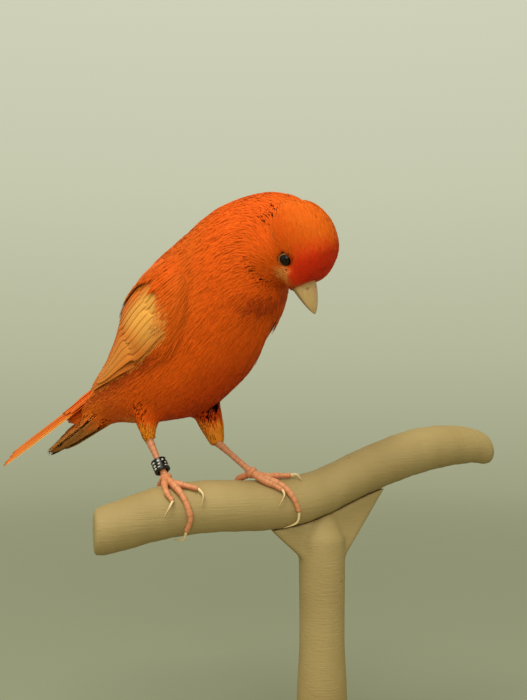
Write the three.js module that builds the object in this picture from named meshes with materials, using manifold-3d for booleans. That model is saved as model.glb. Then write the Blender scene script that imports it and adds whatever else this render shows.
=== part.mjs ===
// A canary gripping a T-shaped perch on a plain display stand.
// Millimetres, +Z up. The origin is the centre of the stand base's underside, below the post.
// +X runs along the perch bar to its raised end, and the bird stands over -X.
import * as THREE from 'three';
import { mergeVertices } from 'three/addons/utils/BufferGeometryUtils.js';
import Module from 'manifold-3d';

const wasm = await Module();
wasm.setup();

// Driving dimensions of the stand and the perch
const GAP = 0.3;
const BASE_RADIUS = 45;
const BASE_HEIGHT = 6;
const BASE_CHAMFER = 1.2;
const POST_TOP = 78;
const POST_RADIUS = 6.5;
const POST_BULGE = 0.8;
const POST_SIDES = 24;
// The swelling of the post lies between these heights
const SWELL_FOOT = 8;
const SWELL_TOP = 50;
const CONE_HEIGHT = 16;
const WEB_THICKNESS = 5;
const BAR_SIDES = 18;
const BAR_STEPS = 24;
// Stations of the bar: place along X, height of its centre, radius
const BAR_STATIONS = [
  [-63.9, 82.6, 4.9],
  [-62.7, 82.8, 6.2],
  [-57.0, 84.1, 6.8],
  [-46.0, 86.9, 7.2],
  [-33.0, 88.0, 7.1],
  [-15.0, 87.6, 6.9],
  [-2.0, 89.9, 6.8],
  [12.0, 95.6, 6.7],
  [26.0, 100.3, 6.7],
  [37.0, 102.3, 6.2],
  [46.5, 102.4, 5.3],
  [51.6, 101.2, 4.5],
  [53.3, 100.4, 3.0],
];

// Driving dimensions of the bird
const PERCH_X = -31.1;
const BIRD_HEIGHT = 95.2;
const BIRD_YAW = -45;
const BODY_SIDES = 26;
const BODY_STEPS = 26;
// Stations of the trunk from rump to neck, in the bird's own frame: X forwards, height of the
// centre, half depth, half width, and how far the centre lies to the bird's left
const BODY_STATIONS = [
  [-46.0, 15.2, 3.0, 3.2, 0],
  [-43.2, 17.5, 4.9, 5.0, 0],
  [-39.4, 19.7, 6.5, 6.6, 0],
  [-33.7, 22.8, 9.1, 9.0, 0],
  [-24.6, 26.6, 12.9, 12.6, 0],
  [-14.6, 33.3, 18.5, 15.4, 0],
  [-6.1, 43.4, 20.9, 16.8, 0],
  [3.0, 53.1, 18.6, 16.2, 0],
  [9.9, 61.3, 15.5, 14.4, 0],
  [15.4, 64.9, 13.0, 12.6, 0.6],
  [20.0, 65.6, 11.8, 11.6, 1.0],
  [24.0, 63.6, 10.0, 9.8, 1.4],
  [26.8, 61.6, 7.6, 7.2, 1.4],
];
const NECK_PLANE_X = 7.8;
// The nape's fill from the trunk into the head: start in the bird's frame, end in the head's
const NAPE_START = [11, 0.2, 60.5];
const NAPE_END = [-3.5, 0, 1.0];
const NAPE_RADII = [12.6, 10.2, 7.2];

// The head's own frame has its origin midway between the eyes
const HEAD_PLACE = [28.0, -2.6, 60.0];
const HEAD_TURN = -9.8;
const HEAD_DOWN = 62.3;
const HEAD_ROLL = 29.8;
const HEAD_SIDES = 20;
// Stations of the head: forwards, height of the centre, half height, half width
const HEAD_STATIONS = [
  [-13.0, 2.4, 3.0, 3.0],
  [-11.0, 2.4, 6.6, 5.6],
  [-7.5, 2.4, 9.0, 7.2],
  [-3.5, 2.4, 10.1, 7.8],
  [0.5, 2.2, 10.0, 7.4],
  [4.0, 1.6, 9.3, 6.9],
  [6.2, -0.2, 7.2, 5.8],
  [7.4, -1.9, 5.2, 4.5],
];
// How far behind the eyes the head ends
const HEAD_BACK = 6;
const EYE_RADIUS = 1.9;
const EYE_SIDE = 5.2;
const EYE_DISH = 3.2;
// The way an eye looks, in the head's frame, with Y for the left one
const EYE_LOOK = [0.45, 0.88, 0.12];
// How far out of the eye's centre the lids' ring and the dish around them lie
const LID_OUT = 1.0;
const DISH_OUT = 1.1;
const LID_RING = 1.85;
const LID_WIRE = 0.5;
const BILL_BASE = 6.4;
const BILL_TIP = 14.6;
const BILL_HALF_WIDTH = 4.1;
const BILL_CULMEN = 3.6;
const BILL_KEEL = 2.2;
const BILL_LINE = -4.3;
const BILL_DROOP = 0.7;
const LOWER_BILL_SHORT = 1.6;
const LOWER_BILL_NARROW = 0.8;
const BILL_TIP_RADIUS = 0.16;
const NOSTRIL_RADIUS = 0.45;
// A nostril's place: forwards of the bill's base, sideways, and above the line of the mouth
const NOSTRIL_PLACE = [2.7, 2.1, 2.6];

const TAIL_ROOT = [-36, 0, 27];
const TAIL_TIP = [-80.5, 0, 0.6];
const TAIL_ROOF = 10;
const TAIL_ROLL = -30;
const UNDERTAIL_ROOT = [-33, 0, 19.8];
const UNDERTAIL_TIP = [-57.0, 0, 6.6];

const SHANK_RADIUS = 0.95;
const RING_HEIGHT = 3.6;
const RING_WALL = 0.8;
const LEG_SIDES = 12;
const TOE_SIDES = 6;

// Colours, read as plain finishes
const FINISH = {
  plumage: { color: 0xe0600f, roughness: 0.85, metalness: 0 },
  wing: { color: 0xd98a40, roughness: 0.8, metalness: 0 },
  bill: { color: 0xbc9a64, roughness: 0.45, metalness: 0 },
  eye: { color: 0x0c0806, roughness: 0.08, metalness: 0 },
  leg: { color: 0xc98a5e, roughness: 0.6, metalness: 0 },
  claw: { color: 0xc0ab80, roughness: 0.4, metalness: 0 },
  ring: { color: 0x151515, roughness: 0.35, metalness: 0.2 },
  perch: { color: 0xb59a66, roughness: 0.75, metalness: 0 },
};

const rad = THREE.MathUtils.degToRad;
const lerp = THREE.MathUtils.lerp;
const smoothstep = THREE.MathUtils.smoothstep;
const vec = (x, y, z) => new THREE.Vector3(x, y, z);
const model = new THREE.Group();
const bird = new THREE.Group();
bird.position.set(PERCH_X, 0, BIRD_HEIGHT);
bird.rotation.z = rad(BIRD_YAW);
model.add(bird);
bird.updateMatrixWorld(true);

// Turns a closed geometry into a solid that can be joined and cut
function solid(geometry) {
  let g = geometry.clone();
  g.deleteAttribute('normal');
  g.deleteAttribute('uv');
  g = mergeVertices(g, 1e-4);
  const mesh = new wasm.Mesh({
    numProp: 3,
    vertProperties: new Float32Array(g.attributes.position.array),
    triVerts: new Uint32Array(g.index.array),
  });
  return new wasm.Manifold(mesh);
}

// The largest closed surface of a solid, as a geometry
function geometryOf(whole) {
  let best = null;
  for (const piece of whole.decompose()) {
    if (best === null || piece.volume() > best.volume()) {
      best = piece;
    }
  }
  const mesh = best.getMesh();
  const g = new THREE.BufferGeometry();
  g.setAttribute('position', new THREE.BufferAttribute(mesh.vertProperties, 3));
  g.setIndex(new THREE.BufferAttribute(mesh.triVerts, 1));
  return g;
}

// Numbers from 0 to 1 that come out the same each time
function seeded(seed) {
  let state = seed;
  return () => {
    state = (state * 48271) % 2147483647;
    return state / 2147483647;
  };
}

function union(solids) {
  return solids.reduce((sum, next) => sum.add(next));
}

function place(name, geometry, finish, parent) {
  const mesh = new THREE.Mesh(geometry, new THREE.MeshStandardMaterial(FINISH[finish]));
  mesh.name = name;
  parent.add(mesh);
  return mesh;
}

// A closed skin over rings of equal count, capped flat at both ends
function loft(rings) {
  const count = rings[0].length;
  const points = rings.flat();
  const faces = [];
  for (let i = 0; i + 1 < rings.length; i++) {
    for (let j = 0; j < count; j++) {
      const a = i * count + j;
      const b = i * count + ((j + 1) % count);
      faces.push(a, b, b + count, a, b + count, a + count);
    }
  }
  const last = (rings.length - 1) * count;
  for (const [start, turn] of [[0, true], [last, false]]) {
    const centre = vec(0, 0, 0);
    for (let j = 0; j < count; j++) {
      centre.addScaledVector(points[start + j], 1 / count);
    }
    const c = points.push(centre) - 1;
    for (let j = 0; j < count; j++) {
      const a = start + j;
      const b = start + ((j + 1) % count);
      faces.push(...(turn ? [c, b, a] : [c, a, b]));
    }
  }
  const g = new THREE.BufferGeometry().setFromPoints(points);
  g.setIndex(faces);
  return facingOut(g);
}

// Swaps the faces of a closed geometry that was wound inwards
function facingOut(g) {
  const p = g.attributes.position;
  const index = g.index.array;
  const [a, b, c] = [vec(0, 0, 0), vec(0, 0, 0), vec(0, 0, 0)];
  let volume = 0;
  for (let i = 0; i < index.length; i += 3) {
    a.fromBufferAttribute(p, index[i]);
    b.fromBufferAttribute(p, index[i + 1]);
    c.fromBufferAttribute(p, index[i + 2]);
    volume += a.dot(b.cross(c));
  }
  if (volume < 0) {
    for (let i = 0; i < index.length; i += 3) {
      [index[i], index[i + 1]] = [index[i + 1], index[i]];
    }
  }
  return g;
}

// Smooth values between rows of numbers, for t from 0 to 1
function between(rows, t) {
  const spot = t * (rows.length - 1);
  const i = Math.min(Math.floor(spot), rows.length - 2);
  const f = spot - i;
  const row = (k) => rows[THREE.MathUtils.clamp(k, 0, rows.length - 1)];
  return rows[0].map((_, k) => {
    const [p0, p1, p2, p3] = [row(i - 1)[k], row(i)[k], row(i + 1)[k], row(i + 2)[k]];
    const bend = 2 * p0 - 5 * p1 + 4 * p2 - p3;
    const twist = 3 * (p1 - p2) + p3 - p0;
    return p1 + 0.5 * f * (p2 - p0 + f * (bend + f * twist));
  });
}

// A flat-sided sheet with a thickness: at(u, v, side) gives its points, side 0 below and 1 above
function sheet(at, alongSteps, acrossSteps) {
  const points = [];
  const faces = [];
  const row = acrossSteps + 1;
  const layer = (alongSteps + 1) * row;
  for (const side of [0, 1]) {
    for (let i = 0; i <= alongSteps; i++) {
      for (let j = 0; j <= acrossSteps; j++) {
        points.push(at(i / alongSteps, j / acrossSteps, side));
      }
    }
  }
  const quad = (a, b, c, d) => faces.push(a, b, c, a, c, d);
  for (let i = 0; i < alongSteps; i++) {
    for (let j = 0; j < acrossSteps; j++) {
      const a = i * row + j;
      quad(a, a + 1, a + row + 1, a + row);
      const t = a + layer;
      faces.push(t, t + row + 1, t + 1, t, t + row, t + row + 1);
    }
  }
  for (let i = 0; i < alongSteps; i++) {
    const a = i * row;
    quad(a, a + row, a + row + layer, a + layer);
    const b = a + acrossSteps;
    quad(b, b + layer, b + row + layer, b + row);
  }
  for (let j = 0; j < acrossSteps; j++) {
    quad(j, j + layer, j + 1 + layer, j + 1);
    const b = alongSteps * row + j;
    quad(b, b + 1, b + 1 + layer, b + layer);
  }
  const g = new THREE.BufferGeometry().setFromPoints(points);
  g.setIndex(faces);
  return facingOut(g);
}

// A tapering tube along points, with a radius for each
function tube(path, radii, sides, steps) {
  const curve = new THREE.CatmullRomCurve3(path);
  const rows = radii.map((r) => [r]);
  let across = null;
  const rings = [];
  for (let i = 0; i <= steps; i++) {
    const t = i / steps;
    const centre = curve.getPoint(t);
    const ahead = curve.getTangent(t);
    if (across === null) {
      across = Math.abs(ahead.z) < 0.9 ? vec(0, 0, 1) : vec(1, 0, 0);
    }
    across = across.clone().addScaledVector(ahead, -across.dot(ahead)).normalize();
    const up = ahead.clone().cross(across);
    const r = between(rows, t)[0];
    rings.push(circle(centre, across, up, r, r, sides));
  }
  return loft(rings);
}

function circle(centre, across, up, halfAcross, halfUp, sides) {
  const ring = [];
  for (let j = 0; j < sides; j++) {
    const a = (2 * Math.PI * j) / sides;
    const point = centre.clone().addScaledVector(across, halfAcross * Math.cos(a));
    ring.push(point.addScaledVector(up, halfUp * Math.sin(a)));
  }
  return ring;
}

// A large block that fills the side of a plane that its normal points to
function halfSpace(point, normal) {
  const size = 400;
  const box = new THREE.BoxGeometry(size, size, size);
  const turn = new THREE.Quaternion().setFromUnitVectors(vec(0, 0, 1), normal.clone().normalize());
  box.translate(0, 0, size / 2).applyQuaternion(turn).translate(point.x, point.y, point.z);
  return solid(box);
}

// The perch bar: centre and radius by place along X
function barAt(x) {
  let i = 0;
  while (i < BAR_STATIONS.length - 2 && BAR_STATIONS[i + 1][0] < x) {
    i += 1;
  }
  const span = BAR_STATIONS[i + 1][0] - BAR_STATIONS[i][0];
  const f = (x - BAR_STATIONS[i][0]) / span;
  const [, z, r] = between(BAR_STATIONS, (i + f) / (BAR_STATIONS.length - 1));
  return { z, r };
}

function barGeometry(grow) {
  const rings = [];
  for (let i = 0; i <= BAR_STEPS; i++) {
    const [x, z, r] = between(BAR_STATIONS, i / BAR_STEPS);
    rings.push(circle(vec(x, 0, z), vec(0, 1, 0), vec(0, 0, 1), r + grow, r + grow, BAR_SIDES));
  }
  return loft(rings);
}

function buildStand() {
  const profile = [
    [0, 0],
    [BASE_RADIUS, 0],
    [BASE_RADIUS, BASE_HEIGHT - BASE_CHAMFER],
    [BASE_RADIUS - BASE_CHAMFER, BASE_HEIGHT],
    [0, BASE_HEIGHT],
  ].map(([r, z]) => new THREE.Vector2(r, z));
  const base = new THREE.LatheGeometry(profile, 48).rotateX(Math.PI / 2);
  place('stand_base', geometryOf(solid(base)), 'perch', model);

  const bar = solid(barGeometry(0));
  place('perch_bar', geometryOf(bar), 'perch', model);

  const rings = [];
  const foot = BASE_HEIGHT + GAP;
  const steps = 12;
  for (let i = 0; i <= steps; i++) {
    const z = lerp(foot, POST_TOP, i / steps);
    const wave = Math.sin((Math.PI * (z - SWELL_FOOT)) / (SWELL_TOP - SWELL_FOOT)) ** 2;
    const r = POST_RADIUS + POST_BULGE * wave * (z < SWELL_TOP ? 1 : 0.2);
    rings.push(circle(vec(0, 0, z), vec(1, 0, 0), vec(0, 1, 0), r, r, POST_SIDES));
  }
  const outline = new THREE.Shape();
  outline.moveTo(-15.6, 86);
  outline.lineTo(-15.6, 80.8);
  outline.lineTo(-6.5, 72.2);
  outline.lineTo(6.5, 72.2);
  outline.lineTo(19.5, 92.5);
  outline.lineTo(19.5, 99);
  outline.closePath();
  const web = new THREE.ExtrudeGeometry(outline, { depth: WEB_THICKNESS, bevelEnabled: false });
  web.rotateX(Math.PI / 2).translate(0, WEB_THICKNESS / 2, 0);
  const cone = new THREE.ConeGeometry(POST_RADIUS, CONE_HEIGHT, POST_SIDES).rotateX(Math.PI / 2);
  cone.translate(0, 0, POST_TOP + CONE_HEIGHT / 2 - 0.1);
  const whole = union([solid(loft(rings)), solid(web), solid(cone)]);
  place('stand_post', geometryOf(whole.subtract(solid(barGeometry(GAP)))), 'perch', model);
}

// The trunk's centre line, with the directions across it
function trunkAt(stations, t) {
  const step = 0.01;
  const [x, z, depth, width, side] = between(stations, t);
  const before = between(stations, Math.max(0, t - step));
  const after = between(stations, Math.min(1, t + step));
  const ahead = vec(after[0] - before[0], 0, after[1] - before[1]).normalize();
  const up = vec(-ahead.z, 0, ahead.x);
  return { centre: vec(x, side, z), ahead, up, depth, width };
}

function trunkGeometry(grow) {
  const rings = [];
  for (let i = 0; i <= BODY_STEPS; i++) {
    const { centre, up, depth, width } = trunkAt(BODY_STATIONS, i / BODY_STEPS);
    rings.push(circle(centre, vec(0, 1, 0), up, width + grow, depth + grow, BODY_SIDES));
  }
  return loft(rings);
}

// The head's frame: X along the bill, Y to the bird's left, Z through the crown
function headFrame() {
  const turn = new THREE.Euler(rad(HEAD_ROLL), rad(HEAD_DOWN), rad(-HEAD_TURN), 'ZYX');
  const frame = new THREE.Group();
  frame.position.set(...HEAD_PLACE);
  frame.rotation.copy(turn);
  frame.updateMatrix();
  return frame.matrix;
}

function headGeometry(grow) {
  const steps = 15;
  const rings = [];
  for (let i = 0; i <= steps; i++) {
    const [x, z, high, wide] = between(HEAD_STATIONS, i / steps);
    const centre = vec(x + grow * lerp(-1, 1, i / steps), 0, z);
    rings.push(circle(centre, vec(0, 1, 0), vec(0, 0, 1), wide + grow, high + grow, HEAD_SIDES));
  }
  return loft(rings);
}

// One half of the bill: high is +1 for the upper and -1 for the lower
function billGeometry(high, grow) {
  const steps = 7;
  const sides = 8;
  const rings = [];
  const reach = high > 0 ? BILL_TIP : BILL_TIP - LOWER_BILL_SHORT;
  const rise = high > 0 ? BILL_CULMEN : BILL_KEEL;
  for (let i = 0; i <= steps; i++) {
    const t = i / steps;
    const x = lerp(BILL_BASE - grow, reach + grow, t);
    const taper = (1 - t) ** 0.8 * (1 + 0.35 * t);
    const widest = BILL_HALF_WIDTH * (high > 0 ? 1 : LOWER_BILL_NARROW);
    const width = widest * taper + BILL_TIP_RADIUS + grow;
    const height = rise * taper + BILL_TIP_RADIUS + grow;
    const droop = -BILL_DROOP * t ** 1.6;
    const line = BILL_LINE + droop + high * (GAP / 2) - high * grow;
    const ring = [];
    for (let j = 0; j <= sides; j++) {
      const a = (Math.PI * j) / sides;
      ring.push(vec(x, width * Math.cos(a), line + high * (height + grow) * Math.sin(a)));
    }
    rings.push(ring);
  }
  return loft(rings);
}

function buildFlesh() {
  const toBird = headFrame();
  const headShape = solid(headGeometry(0).applyMatrix4(toBird));
  const trunk = solid(trunkGeometry(0));
  const neckCut = trunkPlane(NECK_PLANE_X);
  const headBack = vec(-1, 0, 0).transformDirection(toBird);
  const headCut = { back: neckCut.back.clone().add(headBack).normalize() };
  headCut.point = vec(0, 0, 0).applyMatrix4(toBird).addScaledVector(headCut.back, HEAD_BACK);
  const napeStart = vec(...NAPE_START);
  const napeEnd = vec(...NAPE_END).applyMatrix4(toBird);
  const napePath = [napeStart, napeStart.clone().lerp(napeEnd, 0.5), napeEnd];
  const nape = solid(tube(napePath, NAPE_RADII, HEAD_SIDES, 6));
  const whole = trunk.add(headShape).add(nape);

  const torso = whole.intersect(halfSpace(neckCut.point, neckCut.back));
  place('torso', geometryOf(torso), 'plumage', bird);

  const front = headCut.back.clone().negate();
  const headRoom = solid(headGeometry(GAP).applyMatrix4(toBird));
  const neckStart = neckCut.point.clone().addScaledVector(neckCut.back, -GAP);
  const ahead = whole.intersect(halfSpace(neckStart, neckCut.back.clone().negate()));
  const neck = ahead.subtract(headRoom.intersect(halfSpace(headCut.point, front)));
  place('neck', geometryOf(neck), 'plumage', bird);

  const headStart = headCut.point.clone().addScaledVector(front, GAP);
  let head = headShape.intersect(halfSpace(headStart, front));
  for (const side of [-1, 1]) {
    const look = vec(EYE_LOOK[0], side * EYE_LOOK[1], EYE_LOOK[2]).normalize();
    const centre = vec(0, side * EYE_SIDE, 0);
    const outward = new THREE.Quaternion().setFromUnitVectors(vec(0, 0, 1), look);
    const rim = centre.clone().addScaledVector(look, LID_OUT);
    const lid = new THREE.TorusGeometry(LID_RING, LID_WIRE, 6, 16).applyQuaternion(outward);
    lid.translate(rim.x, rim.y, rim.z).applyMatrix4(toBird);
    const hollow = centre.clone().addScaledVector(look, DISH_OUT + EYE_DISH);
    const dish = new THREE.SphereGeometry(EYE_DISH, 12, 8);
    dish.translate(hollow.x, hollow.y, hollow.z).applyMatrix4(toBird);
    const socket = eyeGeometry(side, EYE_RADIUS + GAP).applyMatrix4(toBird);
    head = head.subtract(solid(dish)).add(solid(lid)).subtract(solid(socket));
    const eye = eyeGeometry(side, EYE_RADIUS).applyMatrix4(toBird);
    place(side < 0 ? 'eye_right' : 'eye_left', geometryOf(solid(eye)), 'eye', bird);
  }
  for (const high of [1, -1]) {
    head = head.subtract(solid(billGeometry(high, GAP).applyMatrix4(toBird)));
    let bill = solid(billGeometry(high, 0).applyMatrix4(toBird));
    if (high > 0) {
      for (const side of [-1, 1]) {
        const [forward, aside, above] = NOSTRIL_PLACE;
        const nostril = new THREE.SphereGeometry(NOSTRIL_RADIUS, 8, 6).scale(1.3, 1, 0.8);
        nostril.translate(BILL_BASE + forward, side * aside, BILL_LINE + above).applyMatrix4(toBird);
        bill = bill.subtract(solid(nostril));
      }
    }
    place(high > 0 ? 'bill_upper' : 'bill_lower', geometryOf(bill), 'bill', bird);
  }
  place('head', geometryOf(head), 'plumage', bird);
}

function eyeGeometry(side, radius) {
  return new THREE.SphereGeometry(radius, 14, 10).translate(0, side * EYE_SIDE, 0);
}

// The plane across the trunk where its centre line passes x
function trunkPlane(x) {
  let t = 0;
  while (between(BODY_STATIONS, t)[0] < x) {
    t += 0.002;
  }
  const { centre, ahead } = trunkAt(BODY_STATIONS, t);
  return { point: centre, back: ahead.clone().negate() };
}

// Stations of the mantle that the folded wings lie on, from wing tips to shoulders
const MANTLE_STATIONS = [
  [-47.6, 14.4, 2.6, 4.2, 0],
  [-40.6, 18.7, 5.2, 6.4, 0],
  [-33.5, 22.3, 8.6, 8.8, 0],
  [-24.6, 26.4, 12.6, 12.4, 0],
  ...BODY_STATIONS.slice(5, 8),
];

function mantle(t, angle, off) {
  const { centre, up, depth, width } = trunkAt(MANTLE_STATIONS, t);
  const a = rad(angle);
  return centre
    .addScaledVector(up, (depth + off) * Math.cos(a))
    .add(vec(0, (width + off) * Math.sin(a), 0));
}

// Places on the folded wing: u from shoulder to tip, v from the back to the lower edge
function wingPoint(side, u, v, off) {
  const shoulder = 24 * Math.max(0, 1 - u / 0.2) ** 2;
  const low = lerp(108, 66, u ** 1.2) - shoulder;
  const high = lerp(42, 5, Math.min(1, u * 2.2));
  const nearBack = lerp(0.06, 1, smoothstep(v, 0, 0.6));
  const sunk = lerp(nearBack, 1, smoothstep(u, 0.45, 0.85));
  return mantle(lerp(0.97, 0.225, u), side * lerp(high, low, v), off > 0 ? off * sunk : off);
}

// One flat feather: line(s) gives its middle, the way across and the way out at s along it
function vane(line, half, thickness, tilt) {
  const outline = [0.6, 1, 1, 0.85, 0.3];
  const steps = outline.length - 1;
  const at = (s, v, layer) => {
    const { middle, across, out } = line(s);
    const side = 2 * v - 1;
    const width = half * outline[Math.round(s * steps)];
    const rise = tilt * side + layer * thickness * (1 - 0.4 * s);
    return middle.addScaledVector(across, side * width).addScaledVector(out, rise);
  };
  return sheet(at, steps, 1);
}

// The folded wing's tiers of feathers: how many, root and tip as [u, v] of the first and the
// last one, half width, and height over the wing's core
const WING_TIERS = {
  primaries: {
    count: 6, half: 1.9, level: 0.5,
    roots: [[0.5, 0.5], [0.44, 0.95]], tips: [[0.9, 0.3], [0.99, 0.86]],
  },
  secondaries: {
    count: 5, half: 2.8, level: 0.9,
    roots: [[0.3, 0.08], [0.36, 0.86]], tips: [[0.74, 0.12], [0.84, 0.78]],
  },
  greater: {
    count: 5, half: 3.1, level: 1.3,
    roots: [[0.16, 0.1], [0.18, 0.9]], tips: [[0.5, 0.1], [0.5, 0.92]],
  },
  median: {
    count: 5, half: 2.9, level: 1.6,
    roots: [[0.03, 0.14], [0.03, 0.88]], tips: [[0.31, 0.1], [0.32, 0.92]],
  },
};
const VANE_THICKNESS = 0.6;
const VANE_TILT = 0.3;
// How fast a vane comes up out of its root, and how far its tip dips again
const ROOT_RISE = 3.2;
const TIP_DIP = 0.5;
const JITTER = 0.012;
// The wing's core: its share of the wing's length, its faces' heights over the mantle, and how
// much its middle stands over its edges
const CORE_REACH = 0.86;
const CORE_UNDER = -0.6;
const CORE_OVER = 1.05;
const CORE_CROWN = 0.85;

function buildWing(side) {
  const name = side < 0 ? 'wing_right' : 'wing_left';
  const draw = seeded(side < 0 ? 11 : 23);
  const at = (u, v, layer) => {
    const edge = Math.sin(Math.PI * v) ** 0.5 * Math.sin(Math.PI * (0.08 + 0.84 * u)) ** 0.6;
    const off = layer === 0 ? CORE_UNDER : CORE_OVER + CORE_CROWN * edge;
    return wingPoint(side, CORE_REACH * u, v, off);
  };
  const parts = [solid(sheet(at, 10, 5))];
  for (const tier of Object.values(WING_TIERS)) {
    for (let i = 0; i < tier.count; i++) {
      const f = i / (tier.count - 1);
      const [u0, v0, u1, v1] = [0, 1, 2, 3].map((k) => {
        const ends = k < 2 ? tier.roots : tier.tips;
        return lerp(ends[0][k % 2], ends[1][k % 2], f) + JITTER * (draw() - 0.5);
      });
      const bulge = u1 > 0.88 ? -0.1 * Math.abs(f - 0.6) : 0;
      const line = (s) => {
        const u = lerp(u0, u1 + bulge, s);
        const v = lerp(v0, v1, s);
        const off = lerp(0.2, tier.level + 0.9, Math.min(1, ROOT_RISE * s)) - TIP_DIP * s;
        const middle = wingPoint(side, u, v, off);
        const across = wingPoint(side, u, v + 0.01, off).sub(middle).normalize();
        const out = wingPoint(side, u, v, off + 1).sub(middle).normalize();
        return { middle, across, out };
      };
      parts.push(solid(vane(line, tier.half, VANE_THICKNESS, VANE_TILT)));
    }
  }
  const wing = union(parts).subtract(solid(trunkGeometry(GAP)));
  place(name, geometryOf(wing), 'wing', bird);
}

// A flat fan of feathers along a line, rolled about it: across runs from -1, the bird's right
function fanPoint(start, end, roll, along, across, lift) {
  const run = vec(...end).sub(vec(...start));
  const back = run.clone().normalize();
  const left = vec(0, 1, 0).applyAxisAngle(back, rad(roll));
  const up = left.clone().cross(back);
  const point = vec(...start).addScaledVector(run, along);
  return point.addScaledVector(left, across).addScaledVector(up, lift);
}

// Feathers side by side along a line: each starts and ends its share of the width off the line,
// and the middle ones are a little shorter and lie on top
function fan(start, end, shape) {
  const parts = [];
  for (let i = 0; i < shape.count; i++) {
    const share = (2 * i) / (shape.count - 1) - 1;
    const reach = 1 - shape.notch * (1 - Math.abs(share));
    const drop = Math.abs(share) * Math.tan(rad(TAIL_ROOF));
    const line = (s) => {
      const off = share * lerp(shape.rootHalf, shape.tipHalf, s ** 0.7);
      const lift = shape.lift * (1 - 0.5 * s) - drop * shape.tipHalf;
      const middle = fanPoint(start, end, TAIL_ROLL, s * reach, off, lift);
      const across = fanPoint(start, end, TAIL_ROLL, s * reach, off + 1, lift).sub(middle);
      const out = fanPoint(start, end, TAIL_ROLL, s * reach, off, lift + 1).sub(middle);
      return { middle, across, out };
    };
    parts.push(solid(vane(line, shape.half, shape.thickness, share < 0 ? 0.2 : -0.2)));
  }
  return parts;
}

function buildTail() {
  const trunk = solid(trunkGeometry(GAP));
  const rectrices = {
    count: 10, rootHalf: 1.8, tipHalf: 4.8, half: 2.2, thickness: 0.8, lift: 0.2, notch: 0.07,
  };
  const tail = union(fan(TAIL_ROOT, TAIL_TIP, rectrices)).subtract(trunk);
  place('tail', geometryOf(tail), 'plumage', bird);

  const underAt = (u, v, layer) => {
    const across = 2 * v - 1;
    const half = lerp(4.2, 5.4, Math.sin(2.2 * u));
    const thick = lerp(7.4, 4.4, u) * (1 - 0.6 * across * across);
    const lift = (layer - 0.5) * thick;
    return fanPoint(UNDERTAIL_ROOT, UNDERTAIL_TIP, TAIL_ROLL, 0.8 * u, across * half, lift);
  };
  const coverts = { count: 4, rootHalf: 2.6, tipHalf: 4.2, half: 2.3, thickness: 1.0, notch: 0.12 };
  const upper = fan(UNDERTAIL_ROOT, UNDERTAIL_TIP, { ...coverts, lift: 3.2 });
  const lower = fan(UNDERTAIL_ROOT, UNDERTAIL_TIP, { ...coverts, count: 3, lift: -1.4, tipHalf: 3.4 });
  const under = union([solid(sheet(underAt, 6, 4)), ...upper, ...lower]);
  place('undertail_coverts', geometryOf(under.subtract(trunk)), 'plumage', bird);
}

// A point given in the bird's frame, in the stand's frame
function fromBird(x, y, z) {
  return bird.localToWorld(vec(x, y, z));
}

// A point on the bar at place x, angle from the top towards -Y, standing off its surface
function onBar(x, angle, off) {
  const { z, r } = barAt(x);
  const a = rad(angle);
  return vec(x, -(r + off) * Math.sin(a), z + (r + off) * Math.cos(a));
}

// The legs: hip, heel and hind edge in the bird's frame, foot and toes on the bar
const LEGS = {
  right: {
    hip: [-19.5, -7.2, 22],
    heel: [-17.3, -7, 10.6],
    thigh: [4.2, 3.1, 1.8],
    foot: [-44.6, 1, 1.6],
    toes: {
      1: [[-45.2, -14, 1.2], [-45.6, -38, 0.9], [-45.0, -66, 0.9], [-44.4, -88, 0.8]],
      2: [[-43.4, 16, 1.2], [-40.2, 30, 1.0], [-36.8, 42, 0.9]],
      3: [[-43.6, 20, 1.5], [-41.0, 58, 1.1], [-39.4, 96, 1.0], [-40.2, 126, 0.9]],
      4: [[-45.4, 18, 1.2], [-45.2, 42, 1.0], [-43.9, 60, 0.9]],
    },
    claws: {
      1: [[-44.4, -88, 0.8], [-44.0, -106, 1.1], [-43.6, -124, 0.4]],
      2: [[-36.8, 42, 0.9], [-35.8, 58, 1.3], [-36.4, 78, 0.5]],
      3: [[-40.2, 126, 0.9], [-40.8, 146, 1.3], [-43.0, 164, 0.5]],
      4: [[-43.9, 60, 0.9], [-45.0, 72, 1.3], [-46.4, 88, 0.5]],
    },
  },
  left: {
    hip: [-8.6, 7.2, 21],
    heel: [-3.8, 7, 9.4],
    thigh: [4.3, 3.7, 2.2],
    foot: [-20.4, 2, 2.0],
    toes: {
      1: [[-21.8, -10, 1.4], [-23.4, -32, 1.0], [-24.4, -60, 0.9], [-24.8, -84, 0.8]],
      2: [[-18.8, 20, 1.4], [-15.6, 38, 1.0], [-13.6, 50, 0.9]],
      3: [[-18.2, 16, 1.6], [-13.4, 42, 1.2], [-10.8, 72, 1.0], [-9.2, 102, 0.9]],
      4: [[-18.6, 8, 1.7], [-14.0, 8, 1.3], [-9.8, 12, 1.0]],
    },
    claws: {
      1: [[-24.8, -84, 0.8], [-24.8, -102, 1.1], [-24.6, -120, 0.4]],
      2: [[-13.6, 50, 0.9], [-13.4, 64, 1.3], [-15.0, 84, 0.5]],
      3: [[-9.2, 102, 0.9], [-9.6, 124, 1.3], [-12.6, 146, 0.5]],
      4: [[-9.8, 12, 1.0], [-8.4, 22, 1.5], [-7.4, 34, 0.6]],
    },
  },
};

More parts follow.
